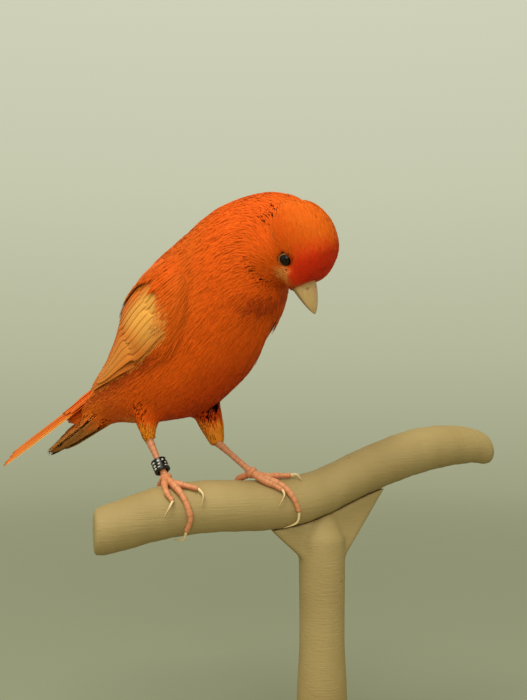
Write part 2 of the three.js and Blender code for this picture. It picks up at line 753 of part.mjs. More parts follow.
function buildLeg(side) {
  const leg = LEGS[side];
  const hip = fromBird(...leg.hip);
  const heel = fromBird(...leg.heel);
  const foot = onBar(...leg.foot);
  const trunk = solid(trunkGeometry(GAP).applyMatrix4(bird.matrixWorld));
  const thighPath = [hip, hip.clone().lerp(heel, 0.55), heel.clone().lerp(hip, -0.06)];
  const thigh = solid(tube(thighPath, leg.thigh, LEG_SIDES, 8)).subtract(trunk);
  place(`thigh_${side}`, geometryOf(thigh), 'plumage', model);

  const down = foot.clone().sub(heel).normalize();
  const shankStart = heel.clone().addScaledVector(down, -0.6);
  const shankPath = [0, 0.1, 0.45, 0.8, 0.93].map((f) => shankStart.clone().lerp(foot, f));
  const shankRadii = [1.3, 1.25, SHANK_RADIUS, SHANK_RADIUS, 1.15];
  const thighGrown = solid(tube(thighPath, leg.thigh.map((r) => r + GAP), LEG_SIDES, 8));
  const bar = solid(barGeometry(GAP));

  const toes = [];
  for (const [number, stops] of Object.entries(leg.toes)) {
    const path = [foot, ...stops.map((s) => onBar(...s))];
    const radii = path.map((_, i) => lerp(1.15, number === '1' ? 0.75 : 0.7, i / (path.length - 1)));
    toes.push(solid(tube(path, radii, TOE_SIDES, 8)));
  }
  const ankle = [shankStart.clone().lerp(foot, 0.96), foot];
  toes.push(solid(tube(ankle, [1.2, 1.5], TOE_SIDES, 2)));
  const footSolid = union(toes).subtract(bar);
  place(`foot_${side}`, geometryOf(footSolid), 'leg', model);
  const shank = solid(tube(shankPath, shankRadii, LEG_SIDES, 10));
  place(`shank_${side}`, geometryOf(shank.subtract(thighGrown).subtract(footSolid)), 'leg', model);

  for (const [number, stops] of Object.entries(leg.claws)) {
    const path = stops.map((s) => onBar(...s));
    const forward = path[1].clone().sub(path[0]).normalize();
    path[0].addScaledVector(forward, GAP + 0.35);
    const claw = solid(tube(path, [0.55, 0.42, 0.1], 6, 5)).subtract(bar);
    place(`claw_${side}_${number}`, geometryOf(claw), 'claw', model);
  }
  return { shankStart, foot, down };
}

function buildRing(line) {
  const inner = SHANK_RADIUS + 0.45;
  const outer = inner + RING_WALL;
  const half = RING_HEIGHT / 2;
  const profile = [
    [inner, -half],
    [outer, -half],
    [outer, half],
    [inner, half],
    [inner, -half],
  ].map(([r, z]) => new THREE.Vector2(r, z));
  const ring = new THREE.LatheGeometry(profile, 20).rotateX(Math.PI / 2);
  ring.applyQuaternion(new THREE.Quaternion().setFromUnitVectors(vec(0, 0, 1), line.down));
  const centre = line.shankStart.clone().lerp(line.foot, 0.68);
  ring.translate(centre.x, centre.y, centre.z);
  place('leg_ring', geometryOf(solid(ring)), 'ring', model);
}

buildStand();
buildFlesh();
buildWing(-1);
buildWing(1);
buildTail();
const ringed = buildLeg('right');
buildLeg('left');
buildRing(ringed);

export default model;
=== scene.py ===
"""A red-factor canary gripping a T-shaped perch: the looks over the CAD frame.

Everything is in metres in the CAD's own frame. MM turns the millimetres of the named sizes
into metres. The bird has its own frame, and so has its head.
"""
import math

import bmesh
import bpy
import numpy as np
from mathutils import Matrix, Vector
from mathutils.bvhtree import BVHTree
from mathutils.kdtree import KDTree

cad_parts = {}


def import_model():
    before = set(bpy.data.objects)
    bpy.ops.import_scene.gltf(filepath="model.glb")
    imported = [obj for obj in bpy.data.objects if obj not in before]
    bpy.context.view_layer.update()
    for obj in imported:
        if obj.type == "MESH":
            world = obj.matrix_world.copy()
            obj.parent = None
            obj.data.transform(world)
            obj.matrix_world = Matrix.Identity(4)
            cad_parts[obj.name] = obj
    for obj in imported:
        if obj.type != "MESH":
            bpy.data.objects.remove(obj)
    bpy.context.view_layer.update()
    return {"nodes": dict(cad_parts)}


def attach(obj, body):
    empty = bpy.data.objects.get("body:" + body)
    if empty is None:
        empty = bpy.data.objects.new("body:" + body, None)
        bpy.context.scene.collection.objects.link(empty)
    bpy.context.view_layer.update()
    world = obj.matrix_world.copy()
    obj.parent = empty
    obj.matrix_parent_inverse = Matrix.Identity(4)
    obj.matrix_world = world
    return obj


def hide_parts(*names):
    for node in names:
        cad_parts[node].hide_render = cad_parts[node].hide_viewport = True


MM = 0.001

# Camera, as the photograph's view: place, turn about Z, focal length for the long side
CAMERA_PLACE = (-75.66, -217.84, 131.0)
CAMERA_YAW = -15.0
CAMERA_LENS = 41.4
SENSOR = 36.0

# The bird's own frame and its head's frame, as in the CAD
BIRD_PLACE = (-31.1, 0.0, 95.2)
BIRD_YAW = -45.0
HEAD_PLACE = (28.0, -2.6, 60.0)
HEAD_TURN = -9.8
HEAD_DOWN = 62.3
HEAD_ROLL = 29.8

EYE_RADIUS = 1.9
EYE_SIDE = 5.2
EYE_LOOK = (0.45, 0.88, 0.12)
BILL_BASE = 6.4
BILL_TIP = 14.6
BILL_HALF_WIDTH = 4.1
BILL_CULMEN = 3.6
BILL_KEEL = 2.2
BILL_LINE = -4.3
BILL_DROOP = 0.7
LOWER_BILL_SHORT = 1.6
LOWER_BILL_NARROW = 0.8
GAP = 0.3

# Skin and coat
SKIN_VOXEL = 0.5
SKIN_SWELL = 0.75
SKIN_SMOOTHING = 18
COAT_DEPTH = 0.85
FACE_DEPTH = 0.5
TUFTS = 86000
TUFTS_A_PIECE = 12000
# Down: some tufts are wider and lie deeper
DOWN_SHARE = 0.3
DOWN_WIDE = 1.9
DOWN_DEPTH = 0.72
# Where the lie parts, tufts are more, shorter and wider
PARTING_MORE = 2.2
PARTING_SHORT = 0.3
PARTING_WIDE = 0.7
# Rounds of smoothing of the lie near the eyes and away from them
LIE_SMOOTHING = 50
LIE_SMOOTHING_FAR = 220
# Where the coat stops: inside the lids, and along the bird towards the tail
LID_OPENING = 2.05
COAT_END = -51.0

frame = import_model()
nodes = frame["nodes"]
rng = np.random.default_rng(7)


def turn(angle, axis):
    return Matrix.Rotation(math.radians(angle), 4, axis)


def shift(place):
    return Matrix.Translation(Vector(place) * MM)


BIRD = shift(BIRD_PLACE) @ turn(BIRD_YAW, "Z")
HEAD = BIRD @ shift(HEAD_PLACE) @ turn(-HEAD_TURN, "Z") @ turn(HEAD_DOWN, "Y") @ turn(HEAD_ROLL, "X")
ROW = Matrix.Identity(4)


def local(matrix, points):
    """Points of the row frame in a frame's own millimetres."""
    inverse = np.array(matrix.inverted())
    return (points @ inverse[:3, :3].T + inverse[:3, 3]) / MM


def world(matrix, points):
    """Points in a frame's own millimetres, in the row frame."""
    m = np.array(matrix)
    return (np.asarray(points, float) * MM) @ m[:3, :3].T + m[:3, 3]


def unit(v):
    return v / np.maximum(np.linalg.norm(v, axis=-1, keepdims=True), 1e-9)


def smooth(low, high, value):
    t = np.clip((value - low) / (high - low), 0, 1)
    return t * t * (3 - 2 * t)


def lerp(a, b, f):
    return a + (b - a) * f


def between(rows, t):
    """Smooth values between rows of numbers, for t from 0 to 1."""
    rows = np.asarray(rows, float)
    last = len(rows) - 1
    spot = np.asarray(t) * last
    i = np.clip(np.floor(spot).astype(int), 0, last - 1)
    f = (spot - i)[..., None]
    p0, p1, p2, p3 = (rows[np.clip(i + k, 0, last)] for k in (-1, 0, 1, 2))
    bend = 2 * p0 - 5 * p1 + 4 * p2 - p3
    twist = 3 * (p1 - p2) + p3 - p0
    return p1 + 0.5 * f * (p2 - p0 + f * (bend + f * twist))


def linear(rgb):
    """An 8-bit screen colour as linear light."""
    c = np.asarray(rgb, float) / 255
    return np.where(c <= 0.04045, c / 12.92, ((c + 0.055) / 1.055) ** 2.4)


# Colours as they look in even light; the belly's colour is painted shade, the undertail's is its own pale
# brown darkened by painted shade, and the dark brown also paints the brow's shadow
ORANGE = linear((230, 86, 4))
CROWN = linear((222, 96, 6))
DEEP_RED = linear((230, 42, 10))
RUMP = linear((226, 100, 14))
BACK = linear((216, 92, 12))
# Darker and redder than the orange: painted shade for the underside, and made darker still for painted
# shadows
BELLY_PAINTED_SHADE = linear((196, 50, 5))
THIGH = linear((246, 146, 34))
LORES = linear((255, 176, 84))
CREAM = linear((248, 176, 80))
TAN = linear((212, 106, 24))
# Dark brown for the feathers' own lines, and for the painted shadow at the brow
DARK_LINE_AND_SHADE = linear((150, 74, 26))
# The undertail's pale brown, darkened as painted shade
UNDERTAIL_WITH_SHADE = linear((140, 100, 46))
UNDERTAIL_TIP = linear((168, 98, 40))


# Meshes

def link(name, mesh):
    obj = bpy.data.objects.new(name, mesh)
    bpy.context.scene.collection.objects.link(obj)
    return obj


def fast_mesh(name, verts, faces):
    """A mesh from arrays of points and of faces that all have as many corners."""
    mesh = bpy.data.meshes.new(name)
    mesh.vertices.add(len(verts))
    mesh.vertices.foreach_set("co", np.asarray(verts, np.float32).ravel())
    mesh.loops.add(faces.size)
    mesh.loops.foreach_set("vertex_index", faces.astype(np.int32).ravel())
    mesh.polygons.add(len(faces))
    corners = faces.shape[1]
    mesh.polygons.foreach_set("loop_start", np.arange(0, faces.size, corners, dtype=np.int32))
    mesh.polygons.foreach_set("use_smooth", np.ones(len(faces), bool))
    mesh.update(calc_edges=True)
    mesh.validate()
    return link(name, mesh)


def face_out(obj, close=False):
    """Turns the faces of closed surfaces outwards, after filling open ends where asked."""
    bm = bmesh.new()
    bm.from_mesh(obj.data)
    if close:
        bmesh.ops.holes_fill(bm, edges=bm.edges)
    bmesh.ops.recalc_face_normals(bm, faces=bm.faces)
    for face in bm.faces:
        face.smooth = len(face.verts) <= 4
    bm.to_mesh(obj.data)
    bm.free()
    return obj


def paint(mesh, colours):
    """A colour for each point of a mesh, read by the materials as 'tint'."""
    layer = mesh.color_attributes.new("tint", "FLOAT_COLOR", "POINT")
    rgba = np.ones((len(mesh.vertices), 4), np.float32)
    rgba[:, :3] = np.clip(colours, 0, 1)
    layer.data.foreach_set("color", rgba.ravel())


def coords(mesh):
    co = np.zeros(len(mesh.vertices) * 3)
    mesh.vertices.foreach_get("co", co)
    return co.reshape(-1, 3)


def normals(mesh):
    out = np.zeros(len(mesh.vertices) * 3)
    mesh.vertex_normals.foreach_get("vector", out)
    return out.reshape(-1, 3)


def grid_quads(rows, columns, around=True):
    """Faces of a grid of points, closed around its columns or not."""
    grid = np.arange(rows * columns).reshape(rows, columns)
    after = np.roll(grid, -1, axis=1)
    if not around:
        grid, after = grid[:, :-1], after[:, :-1]
    return np.stack([grid[:-1], after[:-1], after[1:], grid[1:]], axis=-1).reshape(-1, 4)


def finish_piece(obj, material, slot, *replaced):
    obj.data.materials.append(materials[material])
    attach(obj, "root")
    if replaced:
        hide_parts(*replaced)
    return obj


def join_parts(name, parts, matrix=BIRD):
    """One mesh from parts of points, four-sided faces and colours, in a frame's millimetres."""
    start, verts, faces, colours = 0, [], [], []
    for part_verts, part_faces, part_colours in parts:
        verts.append(part_verts)
        faces.append(part_faces + start)
        colours.append(part_colours)
        start += len(part_verts)
    obj = fast_mesh(name, world(matrix, np.concatenate(verts)), np.concatenate(faces))
    paint(obj.data, np.concatenate(colours))
    return obj


def tube(centre, up, high, wide, sides):
    """Points of a tube: high and wide are its half sizes along up and across, by ring and side."""
    along = unit(np.gradient(centre, axis=0))
    up = unit(up - (up * along).sum(axis=1)[:, None] * along)
    across = np.cross(along, up)
    a = np.linspace(0, 2 * math.pi, sides, endpoint=False)
    rise = (high * np.cos(a))[..., None] * up[:, None]
    aside = (wide * np.sin(a))[..., None] * across[:, None]
    return (centre[:, None] + rise + aside).reshape(-1, 3)


def lathe(name, profile, matrix, sides=64, closed=True):
    """A surface turned about Z: profile holds radius and height, in millimetres."""
    profile = np.asarray(profile, float)
    if closed:
        profile = np.concatenate([profile, profile[:1]])
    a = np.linspace(0, 2 * math.pi, sides, endpoint=False)
    high = np.repeat(profile[:, 1:2], sides, axis=1)
    ring = np.stack([np.outer(profile[:, 0], np.cos(a)), np.outer(profile[:, 0], np.sin(a)), high], axis=-1)
    rows = len(profile)
    quads = grid_quads(rows, sides)
    if closed:
        quads = quads % ((rows - 1) * sides)
        rows -= 1
    obj = fast_mesh(name, world(matrix, ring[:rows].reshape(-1, 3)), quads)
    return face_out(obj, close=not closed)


# Materials

class Nodes:
    """A short way to write a material's nodes."""

    def __init__(self, name):
        self.material = bpy.data.materials.new(name)
        self.material.use_nodes = True
        self.tree = self.material.node_tree
        self.shader = self.tree.nodes["Principled BSDF"]

    def add(self, kind, inputs=None, **settings):
        node = self.tree.nodes.new(kind)
        for key, value in settings.items():
            setattr(node, key, value)
        for key, value in (inputs or {}).items():
            self.put(node, key, value)
        return node

    def put(self, node, key, value):
        socket = node.inputs[key]
        if isinstance(value, bpy.types.NodeSocket):
            self.tree.links.new(value, socket)
        else:
            socket.default_value = value

    def set(self, **values):
        for key, value in values.items():
            self.put(self.shader, key.replace("_", " "), value)

    def attribute(self, name):
        return self.add("ShaderNodeAttribute", attribute_name=name).outputs["Color"]

    def math(self, kind, a, b=0.0):
        return self.add("ShaderNodeMath", {0: a, 1: b}, operation=kind).outputs[0]

    def mix(self, kind, factor, a, b):
        node = self.add("ShaderNodeMix", data_type="RGBA", blend_type=kind)
        self.put(node, 0, factor)
        self.put(node, 6, a)
        self.put(node, 7, b)
        return node.outputs[2]

    def ramp(self, value, *stops):
        node = self.add("ShaderNodeValToRGB", {0: value})
        band = node.color_ramp
        while len(band.elements) < len(stops):
            band.elements.new(0.5)
        for element, (place, colour) in zip(band.elements, stops):
            element.position = place
            element.color = (*colour, 1)
        return node.outputs[0]

    def place(self, scale=(1, 1, 1)):
        spot = self.add("ShaderNodeTexCoord").outputs["Object"]
        return self.add("ShaderNodeMapping", {"Vector": spot, "Scale": scale}).outputs[0]

    def noise(self, scale, detail=3.0, vector=None):
        vector = vector or self.place()
        inputs = {"Scale": scale, "Detail": detail, "Vector": vector}
        return self.add("ShaderNodeTexNoise", inputs).outputs[0]

    def bump(self, height, strength, distance):
        node = self.add("ShaderNodeBump", {"Height": height, "Strength": strength, "Distance": distance})
        self.put(self.shader, "Normal", node.outputs[0])


def feather_material(name, roughness, specular, soft=0.0):
    m = Nodes(name)
    m.set(Base_Color=m.attribute("tint"), Roughness=roughness, Specular_IOR_Level=specular)
    m.set(Subsurface_Weight=soft, Subsurface_Radius=(1.0, 0.4, 0.15), Subsurface_Scale=0.0012)
    m.bump(m.noise(2600.0, 2.0), 0.08, 0.0001)
    return m.material


def plain_material(name, colour, roughness, **more):
    m = Nodes(name)
    m.set(Base_Color=(*linear(colour), 1), Roughness=roughness, **more)
    return m.material


def perch_material():
    m = Nodes("perch_plastic")
    layers = m.noise(1.0, 2.0, m.place((120, 900, 2600)))
    grain = m.noise(1500.0, 4.0)
    patch = m.noise(45.0, 4.0)
    low, high = linear((150, 128, 80)), linear((168, 146, 96))
    colour = m.ramp(patch, (0.3, low), (0.75, high))
    speck = m.ramp(m.noise(300.0, 2.0), (0.2, (0.4, 0.36, 0.3)), (0.27, (1.0, 1.0, 1.0)))
    colour = m.mix("MULTIPLY", 0.8, colour, speck)
    m.set(Base_Color=colour, Roughness=0.66, Specular_IOR_Level=0.3)
    height = m.math("ADD", m.math("MULTIPLY", layers, 0.8), m.math("MULTIPLY", grain, 0.45))
    m.bump(height, 0.55, 0.0003)
    return m.material


def leg_material():
    m = Nodes("leg_skin")
    blotch = m.noise(900.0, 3.0)
    shade = m.ramp(blotch, (0.3, (0.82, 0.78, 0.74)), (0.7, (1.0, 1.0, 1.0)))
    colour = m.mix("MULTIPLY", 1.0, m.attribute("tint"), shade)
    m.set(Base_Color=colour, Roughness=0.48, Specular_IOR_Level=0.4)
    m.set(Subsurface_Weight=0.12, Subsurface_Radius=(1.0, 0.4, 0.25), Subsurface_Scale=0.001)
    m.bump(m.noise(3200.0, 2.0), 0.2, 0.00015)
    return m.material


def bill_material():
    m = Nodes("bill_horn")
    grain = m.noise(1.0, 3.0, m.place((900, 900, 260)))
    shade = m.ramp(grain, (0.3, (0.9, 0.88, 0.86)), (0.7, (1.0, 1.0, 1.0)))
    m.set(Base_Color=m.mix("MULTIPLY", 1.0, m.attribute("tint"), shade), Roughness=0.42)
    m.set(Specular_IOR_Level=0.4, Subsurface_Weight=0.15, Subsurface_Scale=0.001)
    m.set(Subsurface_Radius=(1.0, 0.6, 0.4))
    m.bump(m.noise(900.0, 3.0), 0.1, 0.0002)
    return m.material


# The folded wing's own places

MANTLE = (
    (-47.6, 14.4, 2.6, 4.2), (-40.6, 18.7, 5.2, 6.4), (-33.5, 22.3, 8.6, 8.8),
    (-24.6, 26.4, 12.6, 12.4), (-14.6, 33.3, 18.5, 15.4), (-6.1, 43.4, 20.9, 16.8),
    (3.0, 53.1, 18.6, 16.2),
)


def wing_place(side, u, v, off):
    """u from shoulder to tip, v from the back to the lower edge, in the bird's millimetres."""
    u, v, off = np.broadcast_arrays(np.asarray(u, float), v, off)
    t = lerp(0.97, 0.225, u)
    shoulder = 24 * np.maximum(0, 1 - u / 0.2) ** 2
    low = lerp(108, 66, np.maximum(u, 0) ** 1.2) - shoulder
    high = lerp(42, 5, np.minimum(1, u * 2.2))
    near_back = lerp(0.06, 1, smooth(0, 0.6, v))
    sunk = lerp(near_back, 1, smooth(0.45, 0.85, u))
    off = np.where(off > 0, off * sunk, off)
    a = np.radians(lerp(high, low, v))
    here = between(MANTLE, np.clip(t, 0, 1))
    ahead = between(MANTLE, np.clip(t + 0.01, 0, 1)) - between(MANTLE, np.clip(t - 0.01, 0, 1))
    ahead = unit(ahead[..., :2])
    rise = (here[..., 2] + off) * np.cos(a)
    x = here[..., 0] - ahead[..., 1] * rise
    z = here[..., 1] + ahead[..., 0] * rise
    y = side * (here[..., 3] + off) * np.sin(a)
    return np.stack([x, y, z], axis=-1)


class WingMap:
    """Finds the place on a folded wing that lies nearest to a point."""

    def __init__(self):
        u, v = np.meshgrid(np.linspace(0, 1, 61), np.linspace(0, 1, 41), indexing="ij")
        self.uv = np.tile(np.stack([u.ravel(), v.ravel()], axis=1), (2, 1))
        both = [wing_place(side, u, v, 1.0).reshape(-1, 3) for side in (-1, 1)]
        spots = world(BIRD, np.concatenate(both))
        self.tree = KDTree(len(spots))
        for i, spot in enumerate(spots):
            self.tree.insert(spot, i)
        self.tree.balance()

    def find(self, points):
        """Place from shoulder to tip, from back to lower edge, and how far off in millimetres."""
        index = np.empty(len(points), int)
        gap = np.empty(len(points))
        for i, p in enumerate(points):
            _, index[i], gap[i] = self.tree.find(p)
        return self.uv[index, 0], self.uv[index, 1], gap / MM


def wing_core(side):
    """A closed sheet under the wing's feathers, in the bird's millimetres."""
    rows, columns = 25, 13
    u, v = np.meshgrid(np.linspace(0, 0.74, rows), np.linspace(0, 1, columns), indexing="ij")
    edge = np.sin(math.pi * v) ** 0.5 * np.sin(math.pi * lerp(0.1, 0.9, u / 0.74)) ** 0.5
    top = wing_place(side, u, v, 0.7 + 2.0 * edge).reshape(-1, 3)
    under = wing_place(side, u, v, -1.5).reshape(-1, 3)
    return sheet(top, under, rows, columns)


def sheet(top, under, rows, columns):
    """Points and faces of a closed sheet between two grids of points."""
    grid = np.arange(rows * columns).reshape(rows, columns)
    upper = grid_quads(rows, columns, around=False)
    lower = upper[:, ::-1] + rows * columns
    rim = np.concatenate([grid[0, :], grid[1:, -1], grid[-1, -2::-1], grid[-2:0:-1, 0]])
    after = np.roll(rim, -1)
    walls = np.stack([after, rim, rim + rows * columns, after + rows * columns], axis=-1)
    return np.concatenate([top, under]), np.concatenate([upper, lower, walls])


# Skin: one closed surface over the nodes of flesh

FLESH = ("torso", "neck", "head", "thigh_right", "thigh_left", "undertail_coverts")


def swollen_copy(node, swell):
    obj = link("copy", nodes[node].data.copy())
    weld = obj.modifiers.new("weld", "WELD")
    weld.merge_threshold = 1e-5
    depsgraph = bpy.context.evaluated_depsgraph_get()
    welded = bpy.data.meshes.new_from_object(obj.evaluated_get(depsgraph))
    co = coords(welded) + normals(welded) * swell
    faces = [tuple(p.vertices) for p in welded.polygons]
    bpy.data.objects.remove(obj)
    return co, faces


def relax(co, edges, rounds, share=0.5):
    """Moves each point towards the middle of its neighbours."""
    count = np.bincount(edges.ravel(), minlength=len(co))
    count = np.maximum(count, 1)[:, None]
    for _ in range(rounds):
        total = np.zeros_like(co)
        for k in range(3):
            total[:, k] += np.bincount(edges[:, 0], co[edges[:, 1], k], len(co))
            total[:, k] += np.bincount(edges[:, 1], co[edges[:, 0], k], len(co))
        co = co + share * (total / count - co)
    return co


def mesh_edges(mesh):
    edges = np.zeros(len(mesh.edges) * 2, np.int32)
    mesh.edges.foreach_get("vertices", edges)
    return edges.reshape(-1, 2)


def remeshed(name, verts, faces, voxel):
    """One even closed surface over solids that may cross."""
    rough = link("rough", bpy.data.meshes.new("rough"))
    rough.data.from_pydata(verts.tolist(), [], faces)
    remesh = rough.modifiers.new("remesh", "REMESH")
    remesh.mode = "VOXEL"
    remesh.voxel_size = voxel
    depsgraph = bpy.context.evaluated_depsgraph_get()
    mesh = bpy.data.meshes.new_from_object(rough.evaluated_get(depsgraph))
    bpy.data.objects.remove(rough)
    mesh.name = name
    return mesh


def set_coords(mesh, co):
    mesh.vertices.foreach_set("co", co.ravel())
    mesh.update()


def eye_centre(side):
    return np.array((0.0, side * EYE_SIDE, 0.0))


def eye_look(side):
    return unit(np.array((EYE_LOOK[0], side * EYE_LOOK[1], EYE_LOOK[2])))


def eye_gap(head):
    """How far points of the head's frame lie from the nearest eye's axis, and along it."""
    away = np.full(len(head), 99.0)
    along = np.zeros(len(head))
    for side in (-1, 1):
        off = head - eye_centre(side)
        reach = off @ eye_look(side)
        gap = np.linalg.norm(off - reach[:, None] * eye_look(side), axis=1)
        near = (gap < away) & (reach > -2)
        away[near], along[near] = gap[near], reach[near]
    return away, along


def depth_at(points):
    """How deep the coat is over the skin at points of the row frame."""
    head = local(HEAD, points)
    face = 1 - smooth(4, 13, np.linalg.norm(head - (7, 0, -1), axis=1))
    return (COAT_DEPTH + (FACE_DEPTH - COAT_DEPTH) * face) * MM


def open_eyes(co):
    """Lowers the skin inside the lids, so that the eyeballs show."""
    head = local(HEAD, co)
    for side in (-1, 1):
        look = eye_look(side)
        off = head - eye_centre(side)
        along = off @ look
        away = np.linalg.norm(off - along[:, None] * look, axis=1)
        inside = 1 - smooth(1.5, 2.3, away)
        drop = np.where(along > 0.1, along - 0.1, 0) * inside
        head = head - drop[:, None] * look
    return world(HEAD, head)


def build_skin():
    verts, faces, start = [], [], 0
    solids = [swollen_copy(node, SKIN_SWELL * MM) for node in FLESH]
    for side in (-1, 1):
        core, quads = wing_core(side)
        solids.append((world(BIRD, core), [tuple(q) for q in quads[:, :: side].tolist()]))
    for co, polygons in solids:
        verts.append(co)
        faces += [tuple(i + start for i in p) for p in polygons]
        start += len(co)
    mesh = remeshed("skin", np.concatenate(verts), faces, SKIN_VOXEL * MM)
    edges = mesh_edges(mesh)
    set_coords(mesh, relax(coords(mesh), edges, SKIN_SMOOTHING))
    co = coords(mesh)
    sink = depth_at(co) + SKIN_SWELL * MM
    co = relax(co - normals(mesh) * sink[:, None], edges, 3)
    set_coords(mesh, open_eyes(co))
    mesh.shade_smooth()
    skin = link("skin", mesh)
    bpy.context.view_layer.objects.active = skin
    skin.select_set(True)
    bpy.ops.object.mode_set(mode="EDIT")
    bpy.ops.mesh.select_all(action="SELECT")
    bpy.ops.uv.smart_project(angle_limit=math.radians(75), island_margin=0.004)
    bpy.ops.object.mode_set(mode="OBJECT")
    skin.select_set(False)
    mesh.uv_layers[0].name = "OFBake"
    return skin


# The lie, colour and size of the coat

THIGHS = (
    ((-19.5, -7.2, 22.0), (-17.3, -7.0, 10.6)),
    ((-8.6, 7.2, 21.0), (-3.8, 7.0, 9.4)),
)
# Place along the trunk, and the way that the coat lies there, forwards and upwards
TRUNK_FLOW = ((-46, -0.88, -0.48), (-20, -0.86, -0.51), (-5, -0.7, -0.71), (8, -0.68, -0.73),
              (24, -0.95, -0.3))
CROWN_CENTRE = np.array((-2.0, 0.0, 12.0))
BILL_ROOT = np.array((BILL_BASE + 1.0, 0.0, BILL_LINE + 0.5))


def head_share(points):
    """How far points belong to the head, from 0 on the trunk to 1."""
    head = local(HEAD, points)
    return 1 - smooth(9, 17, np.linalg.norm(head - (-1, 0, 2), axis=1))


def thigh_share(points):
    """How far points belong to a thigh, and the way down it in the bird's frame."""
    bird = local(BIRD, points)
    share = np.zeros(len(points))
    down = np.tile((0.0, 0.0, -1.0), (len(points), 1))
    for hip, heel in THIGHS:
        hip, heel = np.array(hip), np.array(heel)
        run = heel - hip
        f = np.clip((bird - hip) @ run / (run @ run), 0.0, 1.1)
        away = np.linalg.norm(bird - (hip + f[:, None] * run), axis=1)
        own = (1 - smooth(4.2, 6.6, away)) * smooth(0.05, 0.4, f)
        down[own > share] = run / np.linalg.norm(run)
        share = np.maximum(share, own)
    return share, down


def flow(points):
    """The way that the coat lies, in the row frame, not yet laid flat on the skin."""
    bird_axes = np.array(BIRD)[:3, :3]
    head_axes = np.array(HEAD)[:3, :3]
    head = local(HEAD, points)
    bird = local(BIRD, points)
    away = unit(head - BILL_ROOT)
    face = unit(away * 0.85 + np.array((-0.5, 0, 0)))
    crown = unit(head - CROWN_CENTRE)
    on_crown = smooth(-4.0, -2.5, head[:, 2]) * smooth(5.7, 6.5, head[:, 0])
    face = unit(lerp(face, crown, on_crown[:, None]))
    for side in (-1, 1):
        off = head - eye_centre(side)
        look = eye_look(side)
        reach = off @ look
        round_eye = unit(off - reach[:, None] * look)
        gap = np.linalg.norm(off - reach[:, None] * look, axis=1)
        near = (1 - smooth(2.0, 3.8, gap)) * (reach > -2)
        face = face + 1.6 * near[:, None] * round_eye
    table = np.array(TRUNK_FLOW)
    ahead = np.interp(bird[:, 0], table[:, 0], table[:, 1])
    rise = np.interp(bird[:, 0], table[:, 0], table[:, 2])
    trunk = np.stack([ahead, np.zeros(len(ahead)), rise], axis=1)
    share = head_share(points)[:, None]
    lie = share * (unit(face) @ head_axes.T) + (1 - share) * (trunk @ bird_axes.T)
    on_thigh, down = thigh_share(points)
    return unit(lerp(lie, down @ bird_axes.T, on_thigh[:, None]))


def blend(base, colour, share):
    return base * (1 - share[:, None]) + colour * share[:, None]


def soft_spot(points, centre, radii, core=0.4):
    """1 in the middle of an ellipsoid, falling to 0 at its surface."""
    away = np.linalg.norm((points - np.array(centre)) / np.array(radii), axis=1)
    return 1 - smooth(core, 1.0, away)


def wing_colour(u, v):
    """The colour of a folded wing by place: orange, a pale patch, and tan flight feathers."""
    colour = np.tile(ORANGE, (len(u), 1))
    colour = blend(colour, TAN, 0.8 * smooth(0.04, 0.16, u) * smooth(0.15, 0.45, v + u))
    patch = smooth(0.03, 0.1, u) * (1 - smooth(0.24, 0.42, u))
    patch = patch * smooth(0.42, 0.6, v) * (1 - 0.5 * smooth(0.86, 1.0, v))
    low = smooth(0.3, 0.4, u) * (1 - smooth(0.7, 0.95, u)) * np.exp(-((v - 0.8) / 0.16) ** 2)
    return blend(colour, CREAM, 0.8 * np.maximum(patch, 0.5 * low))


def face_marks(side):
    """The pale lores and the brow's painted shadow, of one side."""
    return (
        ((4.6, side * 5.0, -2.8), (3.8, 3.4, 3.0), 0.3, LORES, 0.65),
        # The brow's dark spot is a painted shadow over the eye
        ((-3.6, side * 6.6, 0.9), (2.8, 2.4, 0.8), 0.1, DARK_LINE_AND_SHADE, 0.55),
    )


# The head's soft spots: centre, radii, core, colour and share
HEAD_MARKS = (
    ((9.0, 0, 3.0), (10.5, 13.0, 8.5), 0.5, DEEP_RED, 0.92),
    ((BILL_BASE + 1.5, 0, BILL_LINE + 4.0), (4.0, 5.4, 2.6), 0.4, lerp(ORANGE, LORES, 0.45), 0.75),
    *face_marks(-1),
    *face_marks(1),
    # A painted shadow in the throat's crease under the cheek
    ((3.5, -6.0, -11.4), (5.6, 9.0, 2.2), 0.2, BELLY_PAINTED_SHADE * 0.4, 0.75),
)


def marking(points):
    """The coat's colour at points of the row frame, with painted shade on the belly, under the rear of the
    body, in the throat's crease and at the brow.
    """
    bird = local(BIRD, points)
    head = local(HEAD, points)
    x, z = bird[:, 0], bird[:, 2]
    colour = np.tile(ORANGE, (len(points), 1))
    back = smooth(4, 14, (z - 38) - 0.78 * x + 6) * (1 - smooth(4, 12, x))
    colour = blend(colour, BACK, 0.6 * back)
    # Painted shade on the underside: the belly darker and redder
    belly_shade = smooth(2, 16, 0.78 * x - (z - 38) - 2) * (1 - smooth(14, 26, x))
    colour = blend(colour, BELLY_PAINTED_SHADE, 0.8 * belly_shade)
    colour = blend(colour, RUMP, smooth(-26, -34, x))
    # Under the rear of the body: the undertail's pale brown, darkened as painted shade
    under = smooth(-30, -38, x) * smooth(3.0, -2.0, z - 17.0 - 0.3 * (x + 38.0))
    colour = blend(colour, UNDERTAIL_WITH_SHADE, 0.8 * under)
    share = head_share(points)
    colour = blend(colour, CROWN, 0.8 * share * smooth(2, 9, head[:, 2]))
    for centre, radii, core, mark, share in HEAD_MARKS:
        colour = blend(colour, mark, share * soft_spot(head, centre, radii, core))
    on_thigh, _ = thigh_share(points)
    return blend(colour, THIGH, 0.85 * on_thigh)


